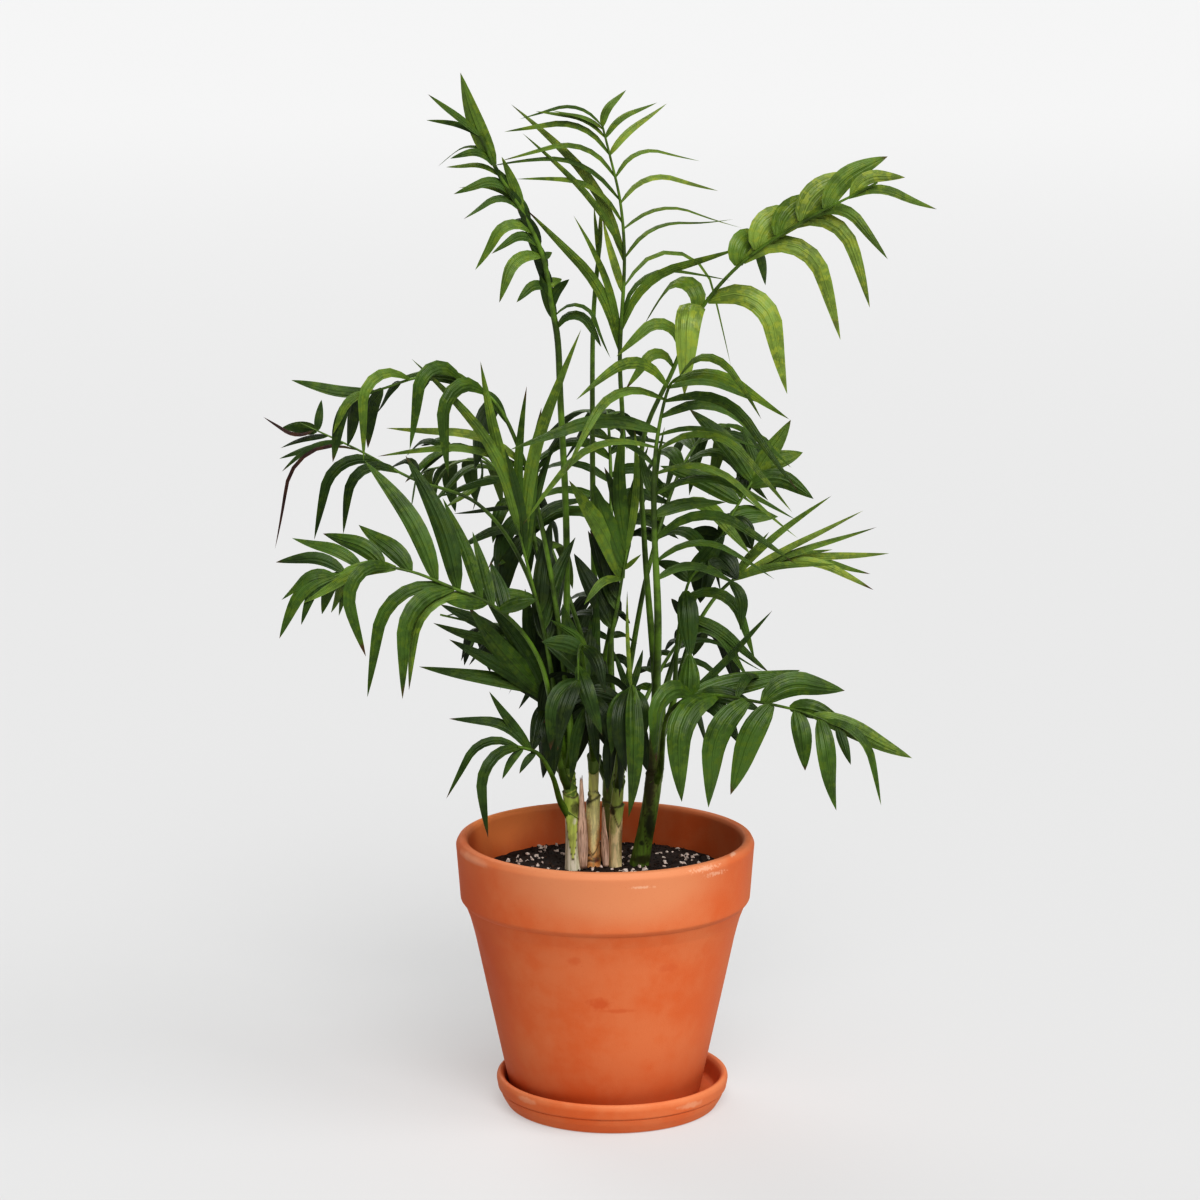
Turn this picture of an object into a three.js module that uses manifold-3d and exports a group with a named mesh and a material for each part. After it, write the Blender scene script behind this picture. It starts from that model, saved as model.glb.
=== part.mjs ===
// A parlour palm in a terracotta pot on its saucer. Millimetres, +Z up.
// The origin is on the saucer's flat underside, below the pot's axis, and the palm's front faces -Y.
import * as THREE from "three";
import { mergeVertices } from "three/addons/utils/BufferGeometryUtils.js";
import Module from "manifold-3d";

const wasm = await Module();
wasm.setup();

// Clearances.
const GAP = 0.3; // between two pieces that rest on each other
const LEAF_GAP = 0.5; // kept free round a leaflet when it is tested against the rest of the plant
const TOUCH_MM3 = 1e-4; // a smaller common volume counts as clear

// Pot and saucer, each turned about its own axis.
const TURNED_SIDES = 32;
const SAUCER = {
  shift: 5, // the saucer's centre lies this far off the pot's axis, in X
  height: 22.5,
  floor: 7,
  outer: 82,
  crest: 79.6,
  foot: 74.6,
};
const POT = {
  height: 186,
  rim: 104.6,
  mouth: 96.2,
  bandBottom: 101.6,
  bandHeight: 43,
  neck: 91.2,
  neckDrop: 70.5, // from the rim down to where the chamfer under the band meets the body
  foot: 67,
  wall: 8.5,
  base: 9,
  drain: 10,
};
const SOIL = { edge: 166, top: 171, flat: 50 };

const POT_FOOT = SAUCER.floor + GAP;
const POT_TOP = POT_FOOT + POT.height;
const CANE_FOOT = SOIL.top + GAP;

// Canes. foot and tip are the axis ends. radii are taken at the soil, above the swollen foot and at the tip.
const CANE_SIDES = 8;
const CANE_RINGS = 8;
const CANE_BOW = 0.25; // how far a leaning cane bows, as a share of its lean
const CANE_FLARE = 0.12; // share of a cane's height that its swollen foot takes
const SCAR_SWELL = 0.35; // how far a leaf scar stands out
const CANES = {
  cane_left: { foot: [-22, -6], tip: [-28, -5, 262], radii: [6.6, 6.0, 5.0], scars: 3 },
  cane_middle: { foot: [-9, 2], tip: [-6, 6, 288], radii: [7.4, 5.6, 4.4], scars: 4 },
  cane_right: { foot: [7, 3], tip: [12, 0, 262], radii: [5.4, 4.8, 4.0], scars: 3 },
  cane_dark: { foot: [24, 8], tip: [37, 7, 286], radii: [8.2, 6.8, 5.4], scars: 2 },
  cane_back: { foot: [2, 22], tip: [4, 30, 272], radii: [6.0, 5.2, 4.4], scars: 3 },
};

// Dry sheaths that stand beside the canes: foot, tip, width and the way the flat side runs.
const SHEATH_THICK = 1.2;
const SHEATH_RINGS = [0, 0.45, 0.8];
const SHEATHS = {
  dry_sheath_left: { foot: [-13.8, -8.8, 171.6], tip: [-15.8, -7.4, 232], width: 5, side: [0.9, 0.2, 0] },
  dry_sheath_right: { foot: [0.4, -3.5, 171.6], tip: [-1.5, -1, 214], width: 6, side: [0.95, -0.3, 0] },
};

// Leaflets and ribs.
const BENT_STATIONS = [0, 0.32, 0.72]; // shares of a bent leaflet's length that have a section
const PLAIN_STATIONS = [0, 0.38]; // the same for a leaflet that is almost straight
const PLAIN_BEND = 32; // a leaflet that bends less than this, in degrees, is almost straight
const LEAF_THICK = 0.0125; // of the leaflet's length
const LEAF_STIFF = 0.15; // share of a leaflet that stays straight before it bends
const LEAF_SPREAD = 0.25; // how far a leaflet's tip is drawn outwards as it hangs
const PAIRS_SHARE = 0.8; // a frond's solid has fewer pairs than the palm
const WIDEN = 1.15; // and they are this much broader
const LEAST_BEND = 0.02;
const SLACK_DEG = 6; // a drooping leaflet stops this far short of straight down
const SWINGS = [0, 10, -10, 20, -20]; // changes of droop that are tried for a leaflet that meets something
const RIB_STEP = 34;
const RIB_SIDES = 3;
const FIRST_SEED = 11;
const SEED_STEP = 97;

// Fronds. Each grows from a cane at a height, out of its side at an azimuth or, without one, out of its tip.
// path goes on from there up the petiole and along the rib, and bare is the share of it without leaflets.
// face and faceTip are the way the upper side looks at the foot and at the tip of the leafy part.
// pairs counts the leaflets a side. length, sweep and droop are theirs at the foot, middle and tip: sweep is
// the angle from the rib, and droop the whole bend. lift is their rise from the frond's plane. sag and scale
// multiply droop and length. lift, sag and scale are given left and right of the rib. level says how far the
// blades turn to lie flat. A single leaflet stands at a share of the path, left where its sweep is negative.
const COLLAR = { out: 9, rise: 12 }; // where a frond's foot clears the side of its cane
const FROND = {
  rib: [2.3, 1.5, 0.9], // radii at the foot, where the leaflets start and at the tip
  bare: 0.5,
  pairs: 8,
  length: [80, 95, 60],
  width: 12,
  sweep: [62, 45, 22],
  lift: [8, 8],
  droop: [60, 60, 50],
  sag: [1, 1],
  scale: [1, 1],
  level: 0.6,
  leaf: "mid",
  singles: [],
};
const FRONDS = {
  frond_top_left: {
    grows: ["cane_left", 260],
    path: [[-27, 10, 409], [-31, 14, 499], [-33, 14, 542], [-37, 12, 565], [-43, 6, 599], [-57, 0, 630],
      [-73, -6, 657], [-84, -10, 681]],
    bare: 0.73, pairs: 9, face: [0.75, -0.6, 0.3], faceTip: [0.5, -0.8, 0.3], length: [50, 50, 42],
    width: 9, sweep: [72, 60, 26], lift: [-14, -20], droop: [125, 120, 12], scale: [1, 0.62],
    level: 0.5, leaf: "dark",
    singles: [
      { at: 0.94, sweep: 12, lift: 0, length: 74, width: 13, droop: 4 },
      { at: 0.83, sweep: 8, lift: 0, length: 42, width: 8, droop: 4 },
    ],
  },
  frond_top_centre: {
    grows: ["cane_middle", 286],
    path: [[5, 8, 345], [9, 12, 387], [12, 18, 477], [10, 20, 526], [13, 14, 598], [10, 8, 636],
      [3, 2, 667], [-2, -2, 687]],
    bare: 0.65, pairs: 7, face: [0, -1, 0.1], length: [104, 92, 38], width: 8.5, sweep: [26, 56, 30],
    droop: [44, 60, 36], level: 0.6, leaf: "mid",
    singles: [
      { at: 0.76, sweep: -20, lift: 0, length: 124, width: 8, droop: 6 },
    ],
  },
  frond_spear: {
    grows: ["cane_middle", 270, 80],
    path: [[-8, 30, 384], [-9, 30, 483], [-8, 28, 560], [-3, 24, 612]],
    bare: 0.94, pairs: 2, face: [0.5, -0.85, 0], length: [40, 40, 36], width: 5, sweep: [10, 10, 4],
    lift: [0, 0], droop: [4, 4, 4], level: 0, leaf: "dark",
  },
  frond_top_right: {
    grows: ["cane_dark", 284],
    path: [[32, 10, 402], [34, 4, 472], [51, -8, 522], [64, -18, 562], [91, -32, 597], [133, -52, 628],
      [167, -66, 647], [179, -70, 654]],
    bare: 0.62, pairs: 9, face: [-0.3, -0.6, 0.7], faceTip: [-0.5, -0.2, 0.85], length: [104, 100, 46],
    width: 15, sweep: [64, 46, 12], lift: [6, 0], droop: [122, 125, 95], sag: [1.1, 1],
    scale: [0.74, 1], level: 0.6, leaf: "bright",
  },
  frond_arching_left: {
    grows: ["cane_left", 244, 285],
    path: [[-39, -22, 393], [-58, -30, 470], [-80, -35, 509], [-118, -40, 522], [-150, -45, 514],
      [-172, -48, 508]],
    bare: 0.6, pairs: 9, face: [0, -0.25, 1], length: [78, 78, 54], width: 15, sweep: [66, 50, 10],
    droop: [110, 110, 20], level: 0.45, leaf: "dark",
  },
  frond_far_left: {
    grows: ["cane_left", 246, 110],
    path: [[-53, 25, 371], [-88, 35, 422], [-136, 42, 440], [-174, 45, 460], [-214, 50, 478]],
    bare: 0.66, pairs: 5, face: [0, -0.6, 0.8], length: [80, 70, 34], width: 9, sweep: [60, 40, 20],
    droop: [95, 95, 95], level: 0.5, leaf: "dark",
  },
  frond_low_left: {
    grows: ["cane_left", 228, 235],
    path: [[-45, -40, 327], [-71, -60, 365], [-106, -75, 385], [-132, -85, 397], [-160, -90, 401],
      [-180, -95, 395]],
    bare: 0.46, pairs: 10, face: [-0.1, -0.55, 0.8], length: [96, 88, 42], width: 14,
    sweep: [62, 50, 30], lift: [0, 20], droop: [88, 88, 115], sag: [1, 0.3], level: 0.25, leaf: "mid",
  },
  frond_dark_left: {
    grows: ["cane_left", 234, 190],
    path: [[-40, -4, 292], [-60, 14, 325], [-88, 28, 338], [-116, 35, 344]],
    bare: 0.3, pairs: 6, face: [0, -0.7, 0.7], length: [70, 66, 50], width: 15, sweep: [55, 40, 20],
    droop: [40, 40, 40], level: 0.3, leaf: "dark",
  },
  frond_small_left: {
    grows: ["cane_left", 206, 215],
    path: [[-37, -33, 245], [-47, -44, 263], [-60, -52, 269]],
    bare: 0.7, pairs: 1, face: [0, -0.9, 0.45], length: [44, 44, 44], width: 9, sweep: [70, 70, 70],
    droop: [30, 30, 30], level: 0.2, leaf: "mid",
    singles: [
      { at: 0.99, sweep: 22, lift: 0, length: 60, width: 9, droop: 24 },
      { at: 0.9, sweep: 64, lift: 0, length: 46, width: 9, droop: 12 },
      { at: 0.97, sweep: -16, lift: 6, length: 70, width: 9, droop: 75 },
      { at: 0.88, sweep: -56, lift: 6, length: 68, width: 9, droop: 60 },
    ],
  },
  frond_upright: {
    grows: ["cane_left", 250, 250],
    path: [[-41, -20, 337], [-53, -36, 392], [-60, -44, 422]],
    bare: 0.6, pairs: 1, face: [-0.2, -1, 0], length: [95, 95, 95], width: 9, sweep: [6, 6, 6],
    droop: [8, 8, 8], level: 0, leaf: "bright",
    singles: [
      { at: 0.98, sweep: -22, lift: 4, length: 136, width: 9, droop: 10 },
      { at: 0.93, sweep: 28, lift: 4, length: 124, width: 9, droop: 8 },
      { at: 0.9, sweep: -4, lift: 6, length: 108, width: 8, droop: 4 },
      { at: 0.95, sweep: 12, lift: 0, length: 96, width: 8, droop: 4 },
    ],
  },
  frond_mid_left: {
    grows: ["cane_back", 256, 165],
    path: [[-39, 45, 353], [-60, 60, 422], [-89, 70, 452], [-117, 78, 458]],
    bare: 0.6, pairs: 6, face: [0, -0.5, 0.85], length: [80, 80, 60], width: 11, sweep: [60, 45, 22],
    droop: [60, 60, 60], level: 0.5, leaf: "dark",
  },
  frond_centre_right: {
    grows: ["cane_dark", 268, 262],
    path: [[36, -30, 354], [33, -48, 427], [34, -58, 476], [42, -72, 518], [50, -98, 530]],
    bare: 0.4, pairs: 11, face: [-0.15, -0.8, 0.6], length: [96, 108, 86], width: 12,
    sweep: [76, 72, 40], droop: [66, 76, 70], level: 0.6, leaf: "mid",
  },
  frond_behind_right: {
    grows: ["cane_dark", 272, 75],
    path: [[60, 36, 347], [82, 54, 398], [99, 62, 427], [113, 68, 448]],
    bare: 0.45, pairs: 5, face: [-0.2, -1, 0.3], length: [70, 58, 42], width: 18, sweep: [46, 36, 16],
    droop: [26, 26, 26], level: 0.1, leaf: "dark",
  },
  frond_fan_right: {
    grows: ["cane_dark", 258, 40],
    path: [[63, 45, 331], [90, 60, 364], [126, 72, 376], [150, 80, 380]],
    bare: 0.6, pairs: 5, face: [-0.1, -0.9, 0.4], length: [88, 80, 56], width: 7, sweep: [36, 26, 12],
    droop: [12, 12, 12], level: 0.3, leaf: "bright",
  },
  frond_hanging_right: {
    grows: ["cane_dark", 264, 350],
    path: [[51, 5, 339], [60, 0, 378], [72, -6, 386], [86, -10, 376]],
    bare: 0.5, pairs: 6, face: [0.3, -0.3, 0.9], length: [72, 68, 50], width: 12, sweep: [66, 50, 24],
    droop: [110, 110, 100], level: 0.5, leaf: "dark",
  },
  frond_low_right: {
    grows: ["cane_dark", 226, 300],
    path: [[44, -38, 290], [64, -58, 306], [102, -78, 306], [136, -92, 301], [155, -98, 294]],
    bare: 0.36, pairs: 7, face: [0.1, -0.6, 0.8], length: [84, 82, 64], width: 17, sweep: [60, 48, 18],
    droop: [80, 80, 50], level: 0.25, leaf: "mid",
  },
  frond_low_front: {
    grows: ["cane_right", 228, 280],
    path: [[15, -22, 280], [18, -40, 306], [19, -60, 312], [20, -82, 306]],
    bare: 0.5, pairs: 3, face: [0, -0.3, 1], length: [66, 62, 56], width: 13, sweep: [60, 40, 8],
    droop: [105, 105, 105], level: 0.4, leaf: "dark",
    singles: [
      { at: 0.99, sweep: -9, lift: 10, length: 100, width: 15, droop: 116 },
    ],
  },
  frond_inner: {
    grows: ["cane_right", 260],
    path: [[3, -12, 321], [9, -20, 365], [15, -26, 401]],
    bare: 0.6, pairs: 4, face: [0, -1, 0.2], length: [84, 84, 76], width: 15, sweep: [34, 24, 14],
    droop: [14, 14, 14], level: 0, leaf: "mid",
  },
  frond_dark_front: {
    grows: ["cane_middle", 246, 262],
    path: [[-14, -30, 315], [-16, -55, 340], [-18, -82, 340], [-18, -105, 326]],
    bare: 0.4, pairs: 6, face: [0, -0.3, 1], length: [78, 76, 60], width: 14, sweep: [60, 46, 22],
    droop: [105, 105, 105], level: 0.4, leaf: "dark",
  },
  frond_back_left: {
    grows: ["cane_back", 258, 115],
    path: [[-25, 55, 350], [-55, 90, 415], [-90, 125, 440], [-125, 155, 430]],
    bare: 0.5, pairs: 8, face: [0, 0.2, 1], length: [85, 88, 64], width: 12, sweep: [62, 45, 24],
    droop: [90, 90, 90], level: 0.5, leaf: "mid",
  },
  frond_back_right: {
    grows: ["cane_back", 250, 50],
    path: [[30, 60, 370], [55, 95, 440], [80, 130, 465], [105, 160, 455]],
    bare: 0.5, pairs: 8, face: [0, 0.2, 1], length: [85, 88, 64], width: 12, sweep: [62, 45, 24],
    droop: [90, 90, 90], level: 0.5, leaf: "mid",
  },
  frond_back_centre: {
    grows: ["cane_back", 270],
    path: [[4, 60, 360], [4, 90, 430], [2, 130, 470], [0, 175, 470]],
    bare: 0.5, pairs: 8, face: [0, -0.2, 1], length: [85, 88, 64], width: 12, sweep: [62, 45, 24],
    droop: [80, 80, 80], level: 0.5, leaf: "mid",
  },
  frond_back_low_left: {
    grows: ["cane_back", 226, 140],
    path: [[-30, 60, 290], [-60, 100, 315], [-80, 135, 318], [-95, 165, 308]],
    bare: 0.4, pairs: 7, face: [0, 0, 1], length: [76, 76, 60], width: 13, sweep: [62, 45, 24],
    droop: [80, 80, 80], level: 0.5, leaf: "dark",
  },
  frond_back_low_right: {
    grows: ["cane_back", 218, 60],
    path: [[32, 60, 285], [52, 100, 310], [66, 135, 315], [74, 165, 305]],
    bare: 0.4, pairs: 7, face: [0, 0, 1], length: [76, 76, 60], width: 13, sweep: [62, 45, 24],
    droop: [80, 80, 80], level: 0.5, leaf: "dark",
  },
  frond_back_low: {
    grows: ["cane_back", 232, 95],
    path: [[4, 70, 300], [3, 115, 335], [0, 155, 338], [-2, 190, 325]],
    bare: 0.4, pairs: 7, face: [0, 0, 1], length: [80, 80, 60], width: 13, sweep: [62, 45, 24],
    droop: [90, 90, 90], level: 0.5, leaf: "dark",
  },
};

// ---- geometry helpers ----

const V = (p) => new THREE.Vector3(...p);
const rad = THREE.MathUtils.degToRad;
const lerp = THREE.MathUtils.lerp;

// A closed body through rings of equal point count. A last ring of one point is a tip.
function loft(rings) {
  const sides = rings[0].length;
  const faces = [];
  for (let side = 1; side < sides - 1; side++) faces.push(0, side + 1, side);
  for (let k = 1; k < rings.length; k++) {
    const low = (k - 1) * sides;
    const high = k * sides;
    for (let side = 0; side < sides; side++) {
      const next = (side + 1) % sides;
      if (rings[k].length === 1) faces.push(low + side, low + next, high);
      else faces.push(low + side, low + next, high + next, low + side, high + next, high + side);
    }
  }
  if (rings.at(-1).length > 1) {
    const last = (rings.length - 1) * sides;
    for (let side = 1; side < sides - 1; side++) faces.push(last, last + side, last + side + 1);
  }
  return new THREE.BufferGeometry().setFromPoints(rings.flat()).setIndex(faces);
}

// Points on a circle round a centre, from up towards across.
function ring(centre, up, across, radius, sides) {
  return Array.from({ length: sides }, (_, side) => {
    const angle = (2 * Math.PI * side) / sides;
    return centre
      .clone()
      .addScaledVector(up, radius * Math.cos(angle))
      .addScaledVector(across, radius * Math.sin(angle));
  });
}

function solidOf(geometry) {
  const bare = geometry.clone();
  bare.deleteAttribute("normal");
  bare.deleteAttribute("uv");
  const merged = mergeVertices(bare, 1e-3);
  return new wasm.Manifold(
    new wasm.Mesh({
      numProp: 3,
      vertProperties: merged.attributes.position.array,
      triVerts: new Uint32Array(merged.index.array),
    }),
  );
}

function geometryOf(solid) {
  const mesh = solid.getMesh();
  const geometry = new THREE.BufferGeometry()
    .setAttribute("position", new THREE.BufferAttribute(new Float32Array(mesh.vertProperties), 3))
    .setIndex(new THREE.BufferAttribute(new Uint32Array(mesh.triVerts), 1));
  geometry.computeVertexNormals();
  return geometry;
}

function largest(solid) {
  return solid.decompose().reduce((best, body) => (body.volume() > best.volume() ? body : best));
}

// A body turned about +Z from [radius, height] pairs.
function turned(profile) {
  const points = profile.map(([radius, height]) => new THREE.Vector2(radius, height));
  return new THREE.LatheGeometry(points, TURNED_SIDES).rotateX(Math.PI / 2);
}

// ---- turned pieces ----

function saucerGeometry() {
  const { height, floor, outer, crest, foot } = SAUCER;
  const innerWall = crest - 3.4;
  const profile = [
    [0, 0],
    [foot - 1, 0],
    [foot, 0.8],
    [foot + 3.4, 6.5],
    [outer - 2.6, 10.2],
    [outer - 3, 11.2],
    [outer - 1.2, 11.9],
    [outer, 18.5],
    [outer - 0.7, height - 1.2],
    [crest, height],
    [crest - 2, height - 0.9],
    [innerWall, height - 3],
    [innerWall - 2.4, floor + 2],
    [innerWall - 4.4, floor],
    [0, floor],
  ];
  return turned(profile).translate(SAUCER.shift, 0, 0);
}

// The pot's inner wall runs straight from its floor to its mouth.
function innerRadius(height) {
  const floor = POT_FOOT + POT.base;
  const share = (height - floor) / (POT_TOP - floor);
  return lerp(POT.foot - POT.wall, POT.mouth, share);
}

function potGeometry() {
  const { rim, mouth, bandBottom, bandHeight, neck, neckDrop, foot, base, drain } = POT;
  const bandFoot = POT_TOP - bandHeight;
  const profile = [
    [drain, POT_FOOT],
    [foot - 1.5, POT_FOOT],
    [foot, POT_FOOT + 1.8],
    [neck, POT_TOP - neckDrop],
    [neck + 1.7, POT_TOP - neckDrop + 7],
    [neck + 3.9, POT_TOP - neckDrop + 15],
    [bandBottom - 3, bandFoot - 3.4],
    [bandBottom - 1.8, bandFoot - 2.4],
    [bandBottom, bandFoot],
    [rim - 0.4, POT_TOP - 9],
    [rim, POT_TOP - 4.5],
    [rim - 2, POT_TOP - 0.6],
    [rim - 4.4, POT_TOP],
    [mouth + 1.6, POT_TOP - 0.5],
    [mouth, POT_TOP - 2.6],
    [innerRadius(POT_FOOT + base), POT_FOOT + base],
    [drain, POT_FOOT + base],
    [drain, POT_FOOT],
  ];
  return turned(profile);
}

function soilGeometry() {
  const bottom = POT_FOOT + POT.base + GAP;
  const clear = GAP + 0.2; // the wall's flat sides come nearer than its corners
  const edge = innerRadius(SOIL.edge) - clear;
  const profile = [
    [0, bottom],
    [innerRadius(bottom) - clear, bottom],
    [edge, SOIL.edge],
    [(edge + SOIL.flat) / 2, (SOIL.edge + SOIL.top) / 2 + 0.8],
    [SOIL.flat, SOIL.top],
    [0, SOIL.top],
  ];
  return turned(profile);
}

// ---- canes and dry sheaths ----

// The middle of a cane at a share of its height. A leaning cane bows a little.
function caneCentre({ foot, tip }, share) {
  const centre = V([...foot, CANE_FOOT]).lerp(V(tip), share);
  centre.x -= (tip[0] - foot[0]) * CANE_BOW * Math.sin(Math.PI * share);
  return centre;
}

// A cane has a flare at the soil and a slight swelling at each leaf scar. extra makes it larger all round.
function caneGeometry(cane, extra = 0) {
  const { radii, scars } = cane;
  const up = new THREE.Vector3(1, 0, 0);
  const across = new THREE.Vector3(0, 1, 0);
  const rings = [];
  for (let k = 0; k < CANE_RINGS; k++) {
    const share = (k / (CANE_RINGS - 1)) ** 1.3;
    const flare = (radii[0] - radii[1]) * Math.max(0, 1 - share / CANE_FLARE);
    const swell = SCAR_SWELL * Math.cos(2 * Math.PI * scars * share) ** 2;
    const radius = lerp(radii[1], radii[2], share) + flare + swell + extra;
    rings.push(ring(caneCentre(cane, share), up, across, radius, CANE_SIDES));
  }
  if (extra) for (const point of rings.at(-1)) point.z += extra;
  return loft(rings);
}

function sheathGeometry({ foot, tip, width, side }) {
  const low = V(foot);
  const high = V(tip);
  const along = high.clone().sub(low).normalize();
  const across = V(side).addScaledVector(along, -V(side).dot(along)).normalize();
  const out = new THREE.Vector3().crossVectors(across, along).multiplyScalar(SHEATH_THICK / 2);
  const rings = SHEATH_RINGS.map((share) => {
    const middle = low.clone().lerp(high, share);
    const half = across.clone().multiplyScalar((width / 2) * (1 - 0.75 * share ** 2));
    return [
      middle.clone().sub(half),
      middle.clone().add(out),
      middle.clone().add(half),
      middle.clone().sub(out),
    ];
  });
  return loft([...rings, [high]]);
}

// ---- fronds ----

// Small repeatable random numbers, from 0 to 1.
function randomFrom(seed) {
  let state = seed;
  return () => {
    state = (state * 75 + 74) % 65537;
    return state / 65537;
  };
}

// The line of a frond's petiole and rib, from the middle of its cane.
function ribCurve({ grows: [cane, height, azimuth], path }) {
  const share = (height - CANE_FOOT) / (CANES[cane].tip[2] - CANE_FOOT);
  const points = [caneCentre(CANES[cane], share)];
  if (azimuth !== undefined) {
    const out = V([Math.cos(rad(azimuth)), Math.sin(rad(azimuth)), 0]).multiplyScalar(COLLAR.out);
    points.push(points[0].clone().add(out).add(V([0, 0, COLLAR.rise])));
  }
  return new THREE.CatmullRomCurve3([...points, ...path.map(V)], false, "centripetal");
}

// The way the upper side looks at a place on the path, square to the rib.
function faceAt(frond, place, along) {
  const share = Math.max(0, (place - frond.bare) / (1 - frond.bare));
  const face = V(frond.face).lerp(V(frond.faceTip ?? frond.face), share);
  return face.addScaledVector(along, -face.dot(along)).normalize();
}

// The petiole and rib, three-sided with an edge on top, so that a leaflet leaves it through one side face.
function ribGeometry(frond) {
  const curve = ribCurve(frond);
  const steps = Math.ceil(curve.getLength() / RIB_STEP);
  const [foot, neck, tip] = frond.rib;
  const rings = [];
  for (let k = 0; k <= steps; k++) {
    const place = k / steps;
    const along = curve.getTangentAt(place);
    const up = faceAt(frond, place, along);
    const across = new THREE.Vector3().crossVectors(along, up);
    const radius =
      place < frond.bare
        ? lerp(foot, neck, place / frond.bare)
        : lerp(neck, tip, (place - frond.bare) / (1 - frond.bare));
    rings.push(ring(curve.getPointAt(place), up, across, radius, RIB_SIDES));
  }
  return loft(rings);
}

// A value given at the foot, middle and tip of the leafy part.
function threeWay([first, middle, last], share) {
  return share < 0.5 ? lerp(first, middle, share * 2) : lerp(middle, last, share * 2 - 1);
}

// One leaflet at a place on the path: where it starts, its first direction, the way it faces and its sizes.
function leafAt(frond, curve, place, side, { sweep, lift, length, width, droop }) {
  const along = curve.getTangentAt(place);
  const face = faceAt(frond, place, along);
  const across = new THREE.Vector3().crossVectors(along, face).multiplyScalar(side);
  const out = across.multiplyScalar(Math.cos(rad(lift))).addScaledVector(face, Math.sin(rad(lift)));
  const direction = along.multiplyScalar(Math.cos(rad(sweep))).addScaledVector(out, Math.sin(rad(sweep)));
  return {
    start: curve.getPointAt(place),
    direction: direction.normalize(),
    out,
    face,
    length,
    width: width * WIDEN,
    droop,
    level: frond.level,
  };
}

// Every leaflet of a frond: its pairs, each jittered a little, then its single ones.
function leaflets(frond, seed) {
  const curve = ribCurve(frond);
  const random = randomFrom(seed);
  const pairs = Math.ceil(frond.pairs * PAIRS_SHARE);
  const list = [];
  for (let pair = 0; pair < pairs; pair++) {
    for (const side of [-1, 1]) {
      const which = side < 0 ? 0 : 1;
      const jitter = [random() - 0.5, random() - 0.5, random() - 0.5];
      const step = pair / Math.max(1, pairs - 1) - (side < 0 ? 0.3 / pairs : 0);
      const share = Math.max(0, step);
      const place = lerp(frond.bare, 0.995, share);
      list.push(
        leafAt(frond, curve, place, side, {
          sweep: threeWay(frond.sweep, share) + 9 * jitter[0],
          lift: frond.lift[which] + 8 * jitter[1],
          length: threeWay(frond.length, share) * frond.scale[which] * (1 + 0.14 * jitter[2]),
          width: frond.width * (0.8 + 0.2 * Math.sin(Math.PI * (0.25 + 0.6 * share))),
          droop: threeWay(frond.droop, share) * frond.sag[which] * (1 + 0.3 * jitter[0]),
        }),
      );
    }
  }
  for (const single of frond.singles) {
    const side = single.sweep < 0 ? -1 : 1;
    list.push(leafAt(frond, curve, single.at, side, { ...single, sweep: Math.abs(single.sweep) }));
  }
  return list;
}

// The half width of a blade along its length, from 0.3 at its foot to 1 and down to nothing.
function outline(share) {
  return ((share + 0.02) ** 0.55 * (1 - share) ** 0.9) / 0.393;
}

// How far a leaflet bends in all, in radians. It never bends past straight down.
function bendOf({ direction, droop }) {
  const steepest = Math.acos(THREE.MathUtils.clamp(-direction.z, -1, 1)) - rad(SLACK_DEG);
  return Math.max(LEAST_BEND, Math.min(rad(droop), steepest));
}

// The blade's frame at a share of its length, bent on a circle towards the ground.
function bladeFrame(leaf) {
  const { start, direction, out, face, length } = leaf;
  const pull = new THREE.Vector3(0, 0, -1).addScaledVector(out, LEAF_SPREAD);
  const down = pull.addScaledVector(direction, -pull.dot(direction)).normalize();
  const rate = bendOf(leaf) / (1 - LEAF_STIFF);
  const normal = face.clone().multiplyScalar(1 - leaf.level).addScaledVector(down, -leaf.level);
  normal.addScaledVector(direction, -normal.dot(direction)).normalize();
  const third = new THREE.Vector3().crossVectors(direction, down);
  const alongDown = normal.dot(down);
  const alongThird = normal.dot(third);
  return (share) => {
    const straight = Math.min(share, LEAF_STIFF);
    const turn = rate * (share - straight);
    const middle = start
      .clone()
      .addScaledVector(direction, length * (straight + Math.sin(turn) / rate))
      .addScaledVector(down, (length * (1 - Math.cos(turn))) / rate);
    const ahead = direction.clone().multiplyScalar(Math.cos(turn)).addScaledVector(down, Math.sin(turn));
    const inward = down.clone().multiplyScalar(Math.cos(turn)).addScaledVector(direction, -Math.sin(turn));
    const up = inward.multiplyScalar(alongDown).addScaledVector(third, alongThird);
    return { middle, up, across: ahead.cross(up) };
  };
}

// A leaflet's blade, flat on top with a keel below. extra makes it larger all round.
function leafGeometry(leaf, extra = 0) {
  const at = bladeFrame(leaf);
  const thick = leaf.length * LEAF_THICK + 2 * extra;
  const stations = bendOf(leaf) < rad(PLAIN_BEND) ? PLAIN_STATIONS : BENT_STATIONS;
  const rings = stations.map((share) => {
    const { middle, up, across } = at(share);
    const half = (leaf.width / 2) * outline(share) + extra;
    const top = middle.addScaledVector(up, extra);
    return [
      top.clone().addScaledVector(across, -half),
      top.clone().addScaledVector(across, half),
      top.clone().addScaledVector(up, -thick),
    ];
  });
  return loft([...rings, [at(1).middle]]);
}

// ---- assembly ----

const MATERIALS = {
  terracotta: { color: 0xd0764a, roughness: 0.85, metalness: 0 },
  soil: { color: 0x2a211d, roughness: 1, metalness: 0 },
  cane: { color: 0x9aa765, roughness: 0.6, metalness: 0 },
  dry: { color: 0xc9a48c, roughness: 0.9, metalness: 0 },
  dark: { color: 0x2f5a22, roughness: 0.5, metalness: 0 },
  mid: { color: 0x3f7028, roughness: 0.5, metalness: 0 },
  bright: { color: 0x6f9a3a, roughness: 0.5, metalness: 0 },
};

const palm = new THREE.Group();
const taken = []; // every solid placed so far, under its node's name

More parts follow.
